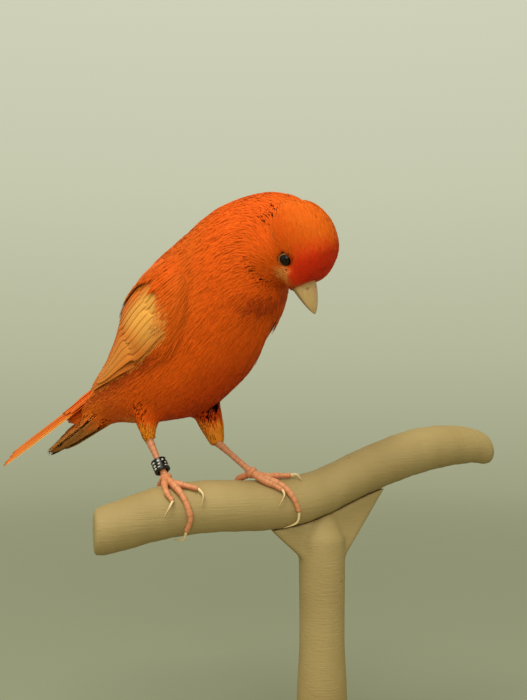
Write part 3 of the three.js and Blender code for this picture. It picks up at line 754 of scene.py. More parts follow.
def size_at(points):
    """Length and half width of the tufts at points, in millimetres."""
    head = local(HEAD, points)
    bird = local(BIRD, points)
    face = 1 - smooth(3, 16, np.linalg.norm(head - (6, 0, -1), axis=1))
    length = lerp(6.4, 2.3, face) + 0.8 * smooth(-34, -42, bird[:, 0])
    gap, _ = eye_gap(head)
    length = length * lerp(0.45, 1.0, smooth(2.0, 4.5, gap)) * (1 + 0.5 * smooth(5.6, 6.6, head[:, 0]))
    half = lerp(0.25, 0.13, face)
    on_thigh, _ = thigh_share(points)
    return length * (1 - 0.5 * on_thigh), half * (1 - 0.3 * on_thigh)


class Surface:
    """The skin, for laying tufts on: nearest places with smooth normals."""

    def __init__(self, mesh):
        mesh.calc_loop_triangles()
        count = len(mesh.loop_triangles)
        self.co = coords(mesh)
        edges = mesh_edges(mesh)
        self.no = unit(relax(normals(mesh), edges, 5))
        lie = laid_flat(flow(self.co), self.no)
        near = relax(lie, edges, LIE_SMOOTHING)
        far = relax(near, edges, LIE_SMOOTHING_FAR)
        gap, _ = eye_gap(local(HEAD, self.co))
        self.lie = laid_flat(lerp(unit(near), unit(far), smooth(3.5, 8.0, gap)[:, None]), self.no)
        self.tris = np.zeros(count * 3, np.int32)
        mesh.loop_triangles.foreach_get("vertices", self.tris)
        self.tris = self.tris.reshape(-1, 3)
        loops = np.zeros(count * 3, np.int32)
        mesh.loop_triangles.foreach_get("loops", loops)
        uv = np.zeros(len(mesh.loops) * 2)
        mesh.uv_layers["OFBake"].data.foreach_get("uv", uv)
        self.uv = uv.reshape(-1, 2)[loops].reshape(-1, 3, 2)
        self.tree = BVHTree.FromPolygons([Vector(c) for c in self.co], self.tris.tolist())
        a, b, c = (self.co[self.tris[:, k]] for k in range(3))
        self.area = np.linalg.norm(np.cross(b - a, c - a), axis=1) / 2
        self.area = self.area * self.open_faces()
        self.parting = self.partings(edges)
        self.area = self.area * (1 + PARTING_MORE * self.parting[self.tris].mean(axis=1))

    def partings(self, edges):
        """Where the lie spreads apart, from 0 to 1, and the coat needs more and wider tufts."""
        step = self.co[edges[:, 1]] - self.co[edges[:, 0]]
        turn_along = ((self.lie[edges[:, 1]] - self.lie[edges[:, 0]]) * step).sum(axis=1)
        spread = np.repeat(turn_along / np.maximum((step ** 2).sum(axis=1), 1e-12), 2)
        count = np.maximum(np.bincount(edges.ravel(), minlength=len(self.co)), 1)
        mean = np.bincount(edges.ravel(), weights=spread, minlength=len(self.co)) / count
        return smooth(50, 140, relax(np.repeat(mean[:, None], 3, axis=1), edges, 20)[:, 0])

    def open_faces(self):
        """1 for faces that can carry tufts: not in a fold, nor at the undertail's blunt end."""
        middle = self.co[self.tris].mean(axis=1)
        facing = unit(self.no[self.tris].mean(axis=1))
        steep = (flow(middle) * facing).sum(axis=1)
        free = np.where((steep > 0.7) & (local(BIRD, middle)[:, 0] < -40), 0.0, 1.0)
        for i, (place, way) in enumerate(zip(middle, facing)):
            start = Vector(place + way * FOLD_START * MM)
            if self.tree.ray_cast(start, Vector(way), FOLD_REACH * MM)[0] is not None:
                free[i] = 0
        return free

    def scatter(self, count, density):
        """Random places: where, normal, lie, place on the unwrap, and parting."""
        middle = self.co[self.tris].mean(axis=1)
        weight = self.area * density(middle)
        pick = rng.choice(len(self.tris), count, p=weight / weight.sum())
        r1, r2 = np.sqrt(rng.random(count)), rng.random(count)
        share = np.stack([1 - r1, r1 * (1 - r2), r1 * r2], axis=1)[:, :, None]
        where = (self.co[self.tris[pick]] * share).sum(axis=1)
        facing = unit((self.no[self.tris[pick]] * share).sum(axis=1))
        lie = unit((self.lie[self.tris[pick]] * share).sum(axis=1))
        parting = (self.parting[self.tris[pick]][:, :, None] * share).sum(axis=1)[:, 0]
        return where, facing, lie, (self.uv[pick] * share).sum(axis=1), parting

    def nearest(self, points):
        """The nearest place on the skin to each point, with the normal and the lie there."""
        where = np.empty_like(points)
        faces = np.empty(len(points), int)
        find = self.tree.find_nearest
        for i, p in enumerate(points):
            where[i], _, faces[i], _ = find(p)
        corners = self.tris[faces]
        return where, unit(self.no[corners].mean(axis=1)), unit(self.lie[corners].mean(axis=1))


def laid_flat(direction, facing):
    return unit(direction - (direction * facing).sum(axis=1)[:, None] * facing)


# Rings of a tuft: place along it, share of its half width, share of the coat's depth, and painted shade,
# darker at the root
TUFT_RINGS = ((0.0, 0.45, -0.1, 0.9), (0.36, 1.0, 0.62, 0.97), (0.74, 0.72, 0.96, 1.02))
# The tip: place along it, share of the coat's depth, and painted light that lightens it
TUFT_TIP = (1.0, 0.86, 1.06)
TUFT_THICKNESS = 0.16
TUFT_POINTS = 10
STRIDES = 3
FOLD_START = 0.05
FOLD_REACH = 1.0
# How far the light on a tuft's edges turns sideways from the skin's own
SIDE_SHINE = 0.45
UV_PATCH = 0.003


def tuft_faces(count):
    """Triangles of tufts of three rings of three points and a tip."""
    faces = [(0, 2, 1)]
    for ring in range(2):
        for k in range(3):
            a, b = ring * 3 + k, ring * 3 + (k + 1) % 3
            faces += [(a, b, b + 3), (a, b + 3, a + 3)]
    faces += [(6 + k, 6 + (k + 1) % 3, 9) for k in range(3)]
    return (np.array(faces)[None] + np.arange(count)[:, None, None] * TUFT_POINTS).reshape(-1, 3)


def loose(points):
    """How freely tufts reach past the skin, over the bill's base and the tail's, from 0 to 1."""
    head = local(HEAD, points)
    over_bill = 0.8 * smooth(4.5, 6.5, head[:, 0]) * smooth(-4.5, -2.0, head[:, 2])
    return np.maximum(over_bill, 0.85 * smooth(COAT_END + 1, COAT_END - 3, local(BIRD, points)[:, 0]))


def tuft_mesh(name, surface, coat):
    """Tufts as closed three-sided leaves, laid along the skin by the flow."""
    where, facing, length, half = coat["where"], coat["facing"], coat["length"], coat["half"]
    count = len(where)
    q, n = where.copy(), facing.copy()
    wander = rng.normal(0, 0.08, where.shape)
    along = laid_flat(unit(coat["lie"] + wander), n)
    rows, shine, last = [], [], 0.0
    stations = [(p, s, h) for p, s, h, _ in TUFT_RINGS] + [(TUFT_TIP[0], 0.0, TUFT_TIP[1])]
    for place, share, height in stations:
        step = (place - last) * length
        last = place
        for _ in range(STRIDES if step.max() > 0 else 0):
            ahead = q + along * step[:, None] / STRIDES
            onto, turned, lie = surface.nearest(ahead)
            free = loose(onto)[:, None]
            n = unit(lerp(turned, n, free))
            q = lerp(onto, ahead, free)
            bent = laid_flat(unit(along * 0.8 + (lie + wander) * 0.2), n)
            along = unit(lerp(bent, along, free))
        across = np.cross(n, along)
        middle = q + n * (coat["depth"] * height + coat["lift"] + coat["stand"] * place)[:, None]
        if share == 0:
            rows.append(middle[:, None])
            shine.append(n[:, None])
            continue
        shine.append(np.stack([n - SIDE_SHINE * across, n + SIDE_SHINE * across, n], axis=1))
        wide = (half * share)[:, None] * across
        thick = (half * share * TUFT_THICKNESS)[:, None] * n
        rows.append(np.stack([middle - wide, middle + wide, middle + thick], axis=1))
    verts = np.concatenate(rows, axis=1).reshape(-1, 3)
    obj = fast_mesh(name, verts, tuft_faces(count))
    obj.data.normals_split_custom_set_from_vertices(unit(np.concatenate(shine, axis=1).reshape(-1, 3)))
    # Painted shade along each tuft: darker at its root, lighter at its tip
    shade = np.repeat([s for _, _, _, s in TUFT_RINGS], 3).tolist() + [TUFT_TIP[2]]
    tint = coat["colour"][:, None] * (coat["shade"][:, None] * np.array(shade))[..., None]
    paint(obj.data, tint.reshape(-1, 3))
    spots = [(k * 0.5 - 0.5, i / 3 - 0.5) for i in range(3) for k in range(3)] + [(0.0, 0.5)]
    place_uv = (coat["uv"][:, None] + np.array(spots) * UV_PATCH).reshape(-1, 2)
    loops = np.zeros(len(obj.data.loops), np.int32)
    obj.data.loops.foreach_get("vertex_index", loops)
    layer = obj.data.uv_layers.new(name="OFBake")
    layer.data.foreach_set("uv", place_uv[loops].ravel())
    return obj


def at_bill(points):
    head = local(HEAD, points)
    ahead = (head[:, 0] > BILL_BASE + 0.2) & (np.abs(head[:, 1]) < BILL_HALF_WIDTH * 0.85)
    return ahead & (head[:, 2] < BILL_LINE + BILL_CULMEN * 0.85)


def coat_edge(v):
    """How far down the wing the coat reaches, by place across it."""
    ragged = 0.015 * np.sin(v * 31)
    return lerp(0.48, 0.03, smooth(0.0, 0.48, v)) + 0.16 * smooth(0.72, 1.0, v) + ragged


def density(points):
    head = local(HEAD, points)
    face = 1 - smooth(4, 17, np.linalg.norm(head - (6, 0, -1), axis=1))
    gap, reach = eye_gap(head)
    weight = 1 + 6 * face
    weight[(gap < LID_OPENING) & (reach > -0.5)] = 0
    weight[at_bill(points)] = 0
    u, v, off = wing_map.find(points)
    weight[(off < 4.5) & (u > coat_edge(v)) & (v > 0.09) & (v < 0.97)] = 0
    weight[local(BIRD, points)[:, 0] < COAT_END] = 0
    return weight


def build_coat(surface):
    total = TUFTS // 1
    scattered = surface.scatter(total, density)
    order = np.argsort(local(BIRD, scattered[0])[:, 0])
    where, facing, lie, uv, parting = (part[order] for part in scattered)
    length, half = size_at(where)
    length = length * (1 - PARTING_SHORT * parting)
    half = half * (1 + PARTING_WIDE * parting)
    length = length * rng.uniform(0.75, 1.2, total) * MM
    half = half * rng.uniform(0.7, 1.3, total) * MM * 1
    u, v, off = wing_map.find(where)
    shoulder = (1 - smooth(1.5, 4.5, off)) * smooth(0.08, 0.35, v) * (1 - smooth(0.2, 0.4, u))
    colour = marking(where + rng.normal(0, 0.5 * MM, where.shape))
    over_wing = (off < 5.0) * smooth(-0.14, 0.02, u - coat_edge(v)) * smooth(0.1, 0.3, v) * (v < 0.985)
    colour = blend(colour, wing_colour(u, v), 0.85 * over_wing)
    # Painted shadow on the flank just under the wing's lower edge
    shadow_under_wing = (off < 5.0) * (v > 0.985) * smooth(0.15, 0.3, u) * (1 - smooth(1.6, 4.0, off))
    colour = blend(colour, BELLY_PAINTED_SHADE * 0.5, 0.55 * shadow_under_wing)
    bird = local(BIRD, where)
    streak = np.sin(bird[:, 0] * 0.55 + 2.2 * np.sin(bird[:, 2] * 0.31)) * np.sin(bird[:, 2] * 0.7 + 1.3)
    down = rng.random(total) < DOWN_SHARE
    half = half * np.where(down, DOWN_WIDE, 1.0)
    coat = {
        "where": where, "facing": facing, "lie": lie, "uv": uv, "colour": colour, "half": half,
        "length": length,
        "depth": depth_at(where) * rng.uniform(0.88, 1.06, total) * np.where(down, DOWN_DEPTH, 1.0),
        "lift": 1.3 * shoulder * MM,
        "stand": np.abs(rng.normal(0, 0.07, total)) * MM,
        "shade": rng.normal(1.0, 0.05, total) + 0.04 * streak,
    }
    pieces = math.ceil(total / TUFTS_A_PIECE)
    for i, part in enumerate(np.array_split(np.arange(total), pieces)):
        obj = tuft_mesh(f"coat_{i + 1}", surface, {key: value[part] for key, value in coat.items()})
        finish_piece(obj, "plumage", "plumage")


# Wings, tail and undertail: sheets of feather

VANE_LONG = 22
VANE_WIDE = 10


def vane(centre, across, out, half, thickness, tilt, point=0.25):
    """One feather as a closed two-faced sheet. centre, across and out are rows along it."""
    steps = np.linspace(0, 1, VANE_LONG + 1)
    to_tip = np.clip((steps - (1 - point)) / point, 0, 1)
    outline = np.minimum(1, 0.5 + 2.4 * steps) * np.sqrt(1 - to_tip ** 2)
    outline = np.maximum(outline, 0.03)
    side = np.linspace(-1, 1, VANE_WIDE + 1)
    wide = half * outline[:, None] * side
    hollow = 0.06 * half * (1 - side ** 2) + 0.05 * np.exp(-(side / 0.14) ** 2)
    lift = tilt * side + hollow
    top = centre[:, None] + across[:, None] * wide[..., None] + out[:, None] * lift[..., None]
    edge = thickness * (1 - 0.9 * np.abs(side) ** 3) * (1 - 0.7 * steps[:, None])
    under = top - out[:, None] * edge[..., None]
    verts, faces = sheet(top.reshape(-1, 3), under.reshape(-1, 3), VANE_LONG + 1, VANE_WIDE + 1)
    s, w = np.meshgrid(steps, side, indexing="ij")
    return verts, faces, np.tile(s.ravel(), 2), np.tile(w.ravel(), 2)


def barbs(colour, s, w, edge, line, phase):
    """Pale edges, a thin dark line inside one of them, a fine shaft and slanting barbs."""
    margin = smooth(0.7, 0.95, np.abs(w)) * smooth(0.1, 0.4, s)
    colour = blend(colour, edge, 0.5 * margin)
    inner = np.exp(-((w - 0.62) / 0.16) ** 2) * smooth(0.2, 0.5, s)
    colour = blend(colour, line, 0.28 * inner)
    colour = blend(colour, line, 0.25 * np.exp(-(w / 0.09) ** 2))
    slant = np.sin(90 * (s - 0.1 * np.abs(w)) + phase) * 0.04
    return colour * (1 + slant)[:, None]


WING_TIERS = (
    # name, count, half width, height, first and last root, first and last tip
    ("primaries", 11, 1.25, 1.2, (0.4, 0.42), (0.32, 0.97), (0.88, 0.3), (0.99, 0.9)),
    ("secondaries", 12, 1.5, 1.6, (0.14, 0.04), (0.2, 0.9), (0.7, 0.1), (0.85, 0.86)),
    ("greater", 14, 1.3, 1.9, (0.03, 0.06), (0.08, 0.93), (0.38, 0.1), (0.42, 0.95)),
    ("median", 11, 1.1, 2.1, (0.0, 0.14), (0.03, 0.76), (0.2, 0.14), (0.2, 0.78)),
)


def build_wing(side):
    parts = []
    steps = np.linspace(0, 1, VANE_LONG + 1)
    for name, count, half, level, root0, root1, tip0, tip1 in WING_TIERS:
        for i in range(count):
            f = i / (count - 1)
            root = lerp(np.array(root0), np.array(root1), f) + rng.uniform(-0.012, 0.012, 2)
            tip = lerp(np.array(tip0), np.array(tip1), f) + rng.uniform(-0.012, 0.012, 2)
            if name == "primaries":
                tip[0] -= 0.1 * abs(f - 0.6)
            u = lerp(root[0], tip[0], steps)
            v = lerp(root[1], tip[1], steps)
            off = lerp(-0.8, level, smooth(0, 0.4, steps)) - 0.6 * steps
            centre = wing_place(side, u, v, off)
            across = unit(wing_place(side, u, v + 0.01, off) - centre)
            out = unit(wing_place(side, u, v, off + 1) - centre)
            verts, faces, s, w = vane(centre, across, out, half, 0.2, 0.1)
            at_u = lerp(root[0], tip[0], s)
            at_v = np.clip(lerp(root[1], tip[1], s) + 0.05 * w, 0, 1)
            colour = barbs(wing_colour(at_u, at_v), s, w, lerp(TAN, CREAM, 0.35), DARK_LINE_AND_SHADE, rng.uniform(0, 6))
            parts.append((verts, faces, colour * rng.normal(1, 0.05)))
    word = "right" if side < 0 else "left"
    obj = join_parts(f"wing_feathers_{word}", parts)
    finish_piece(obj, "vane", "wing", f"wing_{word}")


TAIL_ROOF = 10.0


def build_fan(line, colour_of, fan):
    """Feathers side by side along a line from root to tip."""
    start, end = np.array(line, float)
    count, root_half, tip_half, half, high_up, notch, ragged, point, roll = fan
    back = unit(end - start)
    left = np.array(Matrix.Rotation(math.radians(roll), 3, Vector(back)) @ Vector((0, 1, 0)))
    up = np.cross(left, back)
    reach = np.linalg.norm(end - start)
    steps = np.linspace(0, 1, VANE_LONG + 1)
    parts = []
    for i in range(count):
        share = 2 * i / (count - 1) - 1
        full = reach * (1 - notch * (1 - abs(share)) - rng.uniform(0, ragged))
        off = share * lerp(root_half, tip_half, steps ** 0.7)
        drop = abs(share) * math.tan(math.radians(TAIL_ROOF)) * tip_half
        high = high_up * (1 - 0.5 * steps) - drop + 0.3 + 0.12 * (i % 2)
        centre = start + back * (full * steps)[:, None] + left * off[:, None] + up * high[:, None]
        across, out = np.tile(left, (len(steps), 1)), np.tile(up, (len(steps), 1))
        tilt = 0.16 if share < 0 else -0.16
        verts, faces, s, w = vane(centre, across, out, half, 0.28, tilt, point)
        parts.append((verts, faces, colour_of(s, w, share) * rng.normal(1, 0.05)))
    return parts


def tail_colour(s, w, share):
    colour = np.tile(ORANGE, (len(s), 1))
    colour = blend(colour, TAN, 0.4 + 0.4 * smooth(0.3, 1.0, s))
    outer = smooth(0.6, 0.95, w * np.sign(share) * min(1.0, abs(share) * 1.4))
    colour = barbs(colour, s, w, TAN, DARK_LINE_AND_SHADE, rng.uniform(0, 6))
    return blend(colour, CREAM, 0.85 * outer * smooth(0.1, 0.3, s))


def covert_colour(s, w, share):
    colour = blend(np.tile(ORANGE, (len(s), 1)), TAN, 0.5 * smooth(0.2, 1.0, s))
    return barbs(colour, s, w, ORANGE, RUMP * 0.7, rng.uniform(0, 6))


def undertail_colour(s, w, share):
    # The undertail's brown here is its own pale brown, darkened as painted shade
    colour = blend(np.tile(RUMP, (len(s), 1)), UNDERTAIL_WITH_SHADE, smooth(0.05, 0.45, s))
    streak = 0.5 + 0.5 * np.sin(9 * w + 5 * share)
    colour = blend(colour, UNDERTAIL_WITH_SHADE * 0.6, 0.45 * streak * smooth(0.2, 0.6, s))
    colour = blend(colour, UNDERTAIL_TIP, 0.6 * smooth(0.55, 0.8, s))
    return blend(colour, CREAM, 0.8 * smooth(0.9, 1.0, s))


TAIL_LINE = ((-36.0, 0, 27.0), (-80.5, 0, 0.6))
COVERT_LINE = ((-31.0, 0, 29.6), (-52.0, 0, 17.2))
SIDE_LINE = ((-30.0, 0, 26.5), (-53.0, 0, 14.4))
UNDER_LINE = ((-33.0, 0, 19.8), (-57.0, 0, 6.6))
# Feathers, half spread at root and tip, half width, height, notch, raggedness, point and roll
TAIL_FANS = (
    (TAIL_LINE, tail_colour, (12, 1.8, 4.6, 2.0, 0.3, 0.06, 0.03, 0.35, -30.0)),
    (COVERT_LINE, covert_colour, (9, 2.0, 4.2, 1.6, 1.0, 0.1, 0.12, 0.35, -30.0)),
    (COVERT_LINE, covert_colour, (9, 2.2, 4.0, 1.6, 1.9, -0.2, 0.16, 0.35, -30.0)),
    (SIDE_LINE, covert_colour, (7, 2.6, 3.0, 1.9, 1.6, -0.1, 0.12, 0.4, -75.0)),
    (SIDE_LINE, covert_colour, (7, 2.6, 3.0, 1.9, -1.6, -0.1, 0.12, 0.4, -75.0)),
)
UNDER_FANS = (
    (UNDER_LINE, undertail_colour, (6, 1.8, 1.6, 1.4, 1.6, 0.14, 0.08, 0.22, -70.0)),
    (UNDER_LINE, undertail_colour, (6, 1.8, 1.8, 1.5, 0.2, 0.16, 0.05, 0.22, -70.0)),
    (UNDER_LINE, undertail_colour, (6, 1.8, 1.6, 1.4, -1.2, 0.14, 0.08, 0.22, -70.0)),
)


def build_fans(name, slot, node, fans):
    parts = []
    for line, colour_of, fan in fans:
        parts += build_fan(line, colour_of, fan)
    finish_piece(join_parts(name, parts), "vane", slot, node)


# Bill, eyes and lids

BILL_LONG = 56
BILL_ROUND = 44
NOSTRIL_PLACE = (2.7, 2.1, 2.6)


def bill_half(name, high, node):
    reach = BILL_TIP if high > 0 else BILL_TIP - LOWER_BILL_SHORT
    rise = BILL_CULMEN if high > 0 else BILL_KEEL
    start = BILL_BASE - 1.2
    x = lerp(start, reach, np.linspace(0, 1, BILL_LONG + 1) ** 0.9)
    t = np.clip((x - BILL_BASE) / (reach - BILL_BASE), 0, 1)
    taper = (1 - t) ** 0.8 * (1 + 0.35 * t)
    width = BILL_HALF_WIDTH * (1.0 if high > 0 else LOWER_BILL_NARROW) * taper + 0.16
    height = rise * taper + 0.16
    line = BILL_LINE - BILL_DROOP * t ** 1.6 + high * GAP / 2 * (1 - t)
    arc = np.linspace(0, math.pi, BILL_ROUND + 1)
    floor = np.linspace(-1, 1, 9)[1:-1]
    across = np.concatenate([np.cos(arc), floor])
    ridge = 0.55 * np.sin(arc) + 0.45 * (1 - np.abs(np.cos(arc)) ** 1.3)
    above = np.concatenate([ridge, np.zeros(len(floor))])
    y = width[:, None] * across
    z = line[:, None] + high * height[:, None] * above
    ring = np.stack([np.broadcast_to(x[:, None], y.shape), y, z], axis=-1).reshape(-1, 3)
    up = np.tile(above, BILL_LONG + 1)
    far = np.tile(across, BILL_LONG + 1)
    along = np.repeat(t, len(across))
    horn = np.tile(linear((204, 170, 110)), (len(ring), 1))
    shades = (
        # Painted shade on the bill's far side, which turns it pinker
        ((206, 152, 116), 0.75 * smooth(-0.1, 0.5, far)),
        ((196, 160, 112), 0.5 * smooth(0.8, 1.0, up)),
        ((176, 136, 84), 0.5 * smooth(0.75, 1.0, along)),
        ((226, 150, 74), 0.6 * (1 - smooth(0.0, 0.22, along))),
        # A dark line along the gape where the halves meet: painted shade
        ((120, 84, 52), 0.8 * smooth(0.9, 1.0, np.abs(far)) * (up < 0.25)),
    )
    for colour, share in shades:
        horn = blend(horn, linear(colour), share)
    if high > 0:
        for side in (-1, 1):
            forward, aside, over = NOSTRIL_PLACE
            spot = np.array((BILL_BASE + forward - 0.6, side * aside, BILL_LINE + over))
            pit = np.exp(-(np.linalg.norm((ring - spot) / (0.52, 0.9, 0.34), axis=1)) ** 2)
            ring = ring - pit[:, None] * np.array((0, side * 0.55, 0.35))
            # The nostril's pit darkened: painted shade in the hole
            horn = blend(horn, linear((110, 74, 50)), 0.8 * smooth(0.45, 0.9, pit))
    obj = fast_mesh(name, world(HEAD, ring), grid_quads(BILL_LONG + 1, len(across)))
    face_out(obj, close=True)
    paint(obj.data, horn)
    finish_piece(obj, "bill", "bill", node)


def facing_matrix(centre, look, base):
    """A frame at a place of another frame, with Z along look."""
    spin = Vector((0, 0, 1)).rotation_difference(Vector(look)).to_matrix().to_4x4()
    return base @ shift(centre) @ spin


# The lids' section: radius and height over the eye's centre
LID_PROFILE = ((1.56, 1.12), (1.6, 1.24), (1.7, 1.31), (1.84, 1.24), (2.0, 1.0), (2.2, 0.6),
               (2.3, 0.1), (1.95, -0.2), (1.7, 0.4))


def build_eye(side):
    word = "right" if side < 0 else "left"
    matrix = facing_matrix(eye_centre(side), eye_look(side), HEAD)
    a = np.linspace(0.02, math.pi - 0.02, 49)
    bulge = 1 + 0.05 * np.exp(-(a / 0.5) ** 2)
    profile = np.stack([EYE_RADIUS * np.sin(a), EYE_RADIUS * np.cos(a) * bulge], axis=1)
    ball = lathe(f"eyeball_{word}", profile, matrix, closed=False)
    finish_piece(ball, "eye", "eye", f"eye_{word}")
    rim = lathe(f"eyelid_{word}", LID_PROFILE, matrix, sides=96)
    finish_piece(rim, "lid", "plumage")


# Legs, toes, claws and the ring

BAR_STATIONS = np.array((
    (-63.9, 82.6, 4.9), (-62.7, 82.8, 6.2), (-57.0, 84.1, 6.8), (-46.0, 86.9, 7.2), (-33.0, 88.0, 7.1),
    (-15.0, 87.6, 6.9), (-2.0, 89.9, 6.8), (12.0, 95.6, 6.7), (26.0, 100.3, 6.7), (37.0, 102.3, 6.2),
    (46.5, 102.4, 5.3), (51.6, 101.2, 4.5), (53.3, 100.4, 3.0),
))
LEGS = {
    "right": {
        "heel": (-17.3, -7.0, 10.6),
        "foot": (-44.6, 1, 1.6),
        "toes": (
            ((-45.2, -14, 1.2), (-45.6, -38, 0.9), (-45.0, -66, 0.9), (-44.4, -88, 0.8)),
            ((-43.4, 16, 1.2), (-40.2, 30, 1.0), (-36.8, 42, 0.9)),
            ((-43.6, 20, 1.5), (-41.0, 58, 1.1), (-39.4, 96, 1.0), (-40.2, 126, 0.9)),
            ((-45.4, 18, 1.2), (-45.2, 42, 1.0), (-43.9, 60, 0.9)),
        ),
        "claws": (
            ((-44.4, -88, 0.8), (-44.0, -106, 1.1), (-43.6, -124, 0.4)),
            ((-36.8, 42, 0.9), (-35.8, 58, 1.3), (-36.4, 78, 0.5)),
            ((-40.2, 126, 0.9), (-40.8, 146, 1.3), (-43.0, 164, 0.5)),
            ((-43.9, 60, 0.9), (-45.0, 72, 1.3), (-46.4, 88, 0.5)),
        ),
    },
    "left": {
        "heel": (-3.8, 7.0, 9.4),
        "foot": (-20.4, 2, 2.0),
        "toes": (
            ((-21.8, -10, 1.4), (-23.4, -32, 1.0), (-24.4, -60, 0.9), (-24.8, -84, 0.8)),
            ((-18.8, 20, 1.4), (-15.6, 38, 1.0), (-13.6, 50, 0.9)),
            ((-18.2, 16, 1.6), (-13.4, 42, 1.2), (-10.8, 72, 1.0), (-9.2, 102, 0.9)),
            ((-18.6, 8, 1.7), (-14.0, 8, 1.3), (-9.8, 12, 1.0)),
        ),
        "claws": (
            ((-24.8, -84, 0.8), (-24.8, -102, 1.1), (-24.6, -120, 0.4)),
            ((-13.6, 50, 0.9), (-13.4, 64, 1.3), (-15.0, 84, 0.5)),
            ((-9.2, 102, 0.9), (-9.6, 124, 1.3), (-12.6, 146, 0.5)),
            ((-9.8, 12, 1.0), (-8.4, 22, 1.5), (-7.4, 34, 0.6)),
        ),
    },
}
SHANK_RADIUS = 0.95
RING_PLACE = 0.68
RING_INNER, RING_OUTER, RING_HALF = 1.4, 2.2, 1.8


def bar_at(x):
    """Height of the bar's centre and its radius at x."""
    spot = np.interp(x, BAR_STATIONS[:, 0], np.arange(len(BAR_STATIONS)))
    row = between(BAR_STATIONS, spot / (len(BAR_STATIONS) - 1))
    return row[..., 1], row[..., 2]


def on_bar(stop):
    """A point on the bar at place x, angle from the top towards -Y, standing off its surface."""
    x, angle, off = stop
    z, r = bar_at(x)
    a = math.radians(angle)
    return np.array((x, -(r + off) * math.sin(a), z + (r + off) * math.cos(a)))


def axis_up(centre):
    """A direction away from the bar for each point near it."""
    z, _ = bar_at(centre[:, 0])
    return unit(np.stack([np.zeros(len(z)), centre[:, 1], centre[:, 2] - z], axis=1))


def closed_tube(centre, up, radius, sides, wide=1.0):
    """A tube whose ends shut, as points, faces of four sides and places along and around."""
    rings = len(centre)
    spread = np.repeat(radius[:, None], sides, axis=1)
    points = tube(centre, up, spread, spread * wide, sides)
    points = np.concatenate([np.repeat(centre[:1], sides, axis=0), points,
                             np.repeat(centre[-1:], sides, axis=0)])
    t = np.repeat(np.concatenate([[0], np.linspace(0, 1, rings), [1]]), sides)
    a = np.tile(np.linspace(0, 2 * math.pi, sides, endpoint=False), rings + 2)
    return points, grid_quads(rings + 2, sides), t, a


def scutes(t, count, depth):
    """Overlapping plates along a leg or toe: each swells and then steps down."""
    step = np.mod(t * count, 1.0)
    return 1 + depth * (step ** 0.7 - smooth(0.86, 1.0, step) * 1.0)


def skin_colour(t, a, pink, pale, count):
    colour = blend(np.tile(pink, (len(t), 1)), pale, smooth(-0.3, 0.8, np.cos(a)) * 0.5)
    seam = smooth(0.8, 0.95, np.mod(t * count, 1.0)) * (1 - smooth(0.97, 1.0, np.mod(t * count, 1.0)))
    return blend(colour, pink * 0.55, 0.5 * seam * smooth(-0.2, 0.4, np.cos(a)))


PINK = linear((204, 126, 84))
PALE_SKIN = linear((220, 154, 104))
SHANK_PINK = linear((188, 116, 84))
HORN = linear((226, 200, 150))
HORN_TIP = linear((196, 160, 104))


def build_leg(side):
    leg = LEGS[side]
    heel = world(BIRD, leg["heel"]) / MM
    foot = on_bar(leg["foot"])
    down = unit(foot - heel)
    start = heel - 0.6 * down
    t = np.linspace(0, 1, 90)
    centre = lerp(start, foot, t[:, None] * 0.98)
    radius = np.interp(t, (0, 0.1, 0.4, 0.8, 0.93, 1), (1.45, 1.25, SHANK_RADIUS, SHANK_RADIUS, 1.2, 1.35))
    radius = radius * scutes(t, 9, 0.06)
    front = np.tile(np.array((0.3, -1.0, 0.0)), (len(t), 1))
    points, faces, along, a = closed_tube(centre, front, radius, 24, 0.86)
    colour = skin_colour(along, a, SHANK_PINK, PALE_SKIN, 9)
    shank = join_parts(f"shank_skin_{side}", [(points, faces, colour)], ROW)
    finish_piece(face_out(shank), "leg", "leg", f"shank_{side}")

    parts = []
    for number, stops in enumerate(leg["toes"]):
        path = np.array([lerp(foot, start, 0.04)] + [on_bar(s) for s in stops])
        t = np.linspace(0, 1, 90)
        centre = between(path, t)
        joints = 2 if number in (0, 1) else 3
        radius = lerp(1.1, 0.68, t) * (1 + 0.1 * np.cos(2 * math.pi * joints * t))
        radius = radius * scutes(t, 11, 0.07) * (1 - 0.35 * smooth(0.94, 1.0, t))
        points, faces, along, a = closed_tube(centre, axis_up(centre), radius, 24, 0.92)
        parts.append((points, faces, skin_colour(along, a, PINK, PALE_SKIN, 11)))
    ball_up = np.tile(down, (24, 1)) + np.array((0.2, 0, 0))
    turn_in = np.sin(np.linspace(0.05, math.pi - 0.05, 24))
    knob = foot + down * np.linspace(-1.9, 1.0, 24)[:, None]
    points, faces, along, a = closed_tube(knob, np.cross(ball_up, (0, 1, 0)), 1.75 * turn_in ** 0.6, 24)
    parts.append((points, faces, skin_colour(along, a, PINK, PALE_SKIN, 3)))
    toes = join_parts(f"toe_skin_{side}", parts, ROW)
    finish_piece(face_out(toes), "leg", "leg", f"foot_{side}")

    parts = []
    for stops in leg["claws"]:
        path = np.array([on_bar(s) for s in stops])
        t = np.linspace(0, 1, 40)
        centre = between(path, t)
        radius = np.interp(t, (0, 0.12, 0.5, 1), (0.5, 0.52, 0.36, 0.06))
        points, faces, along, a = closed_tube(centre, axis_up(centre), radius, 20, 0.72)
        parts.append((points, faces, blend(np.tile(HORN, (len(along), 1)), HORN_TIP, along ** 1.5)))
    claws = join_parts(f"claw_horn_{side}", parts, ROW)
    finish_piece(face_out(claws), "claw", "claw", *(f"claw_{side}_{n}" for n in (1, 2, 3, 4)))
    return start, foot, down


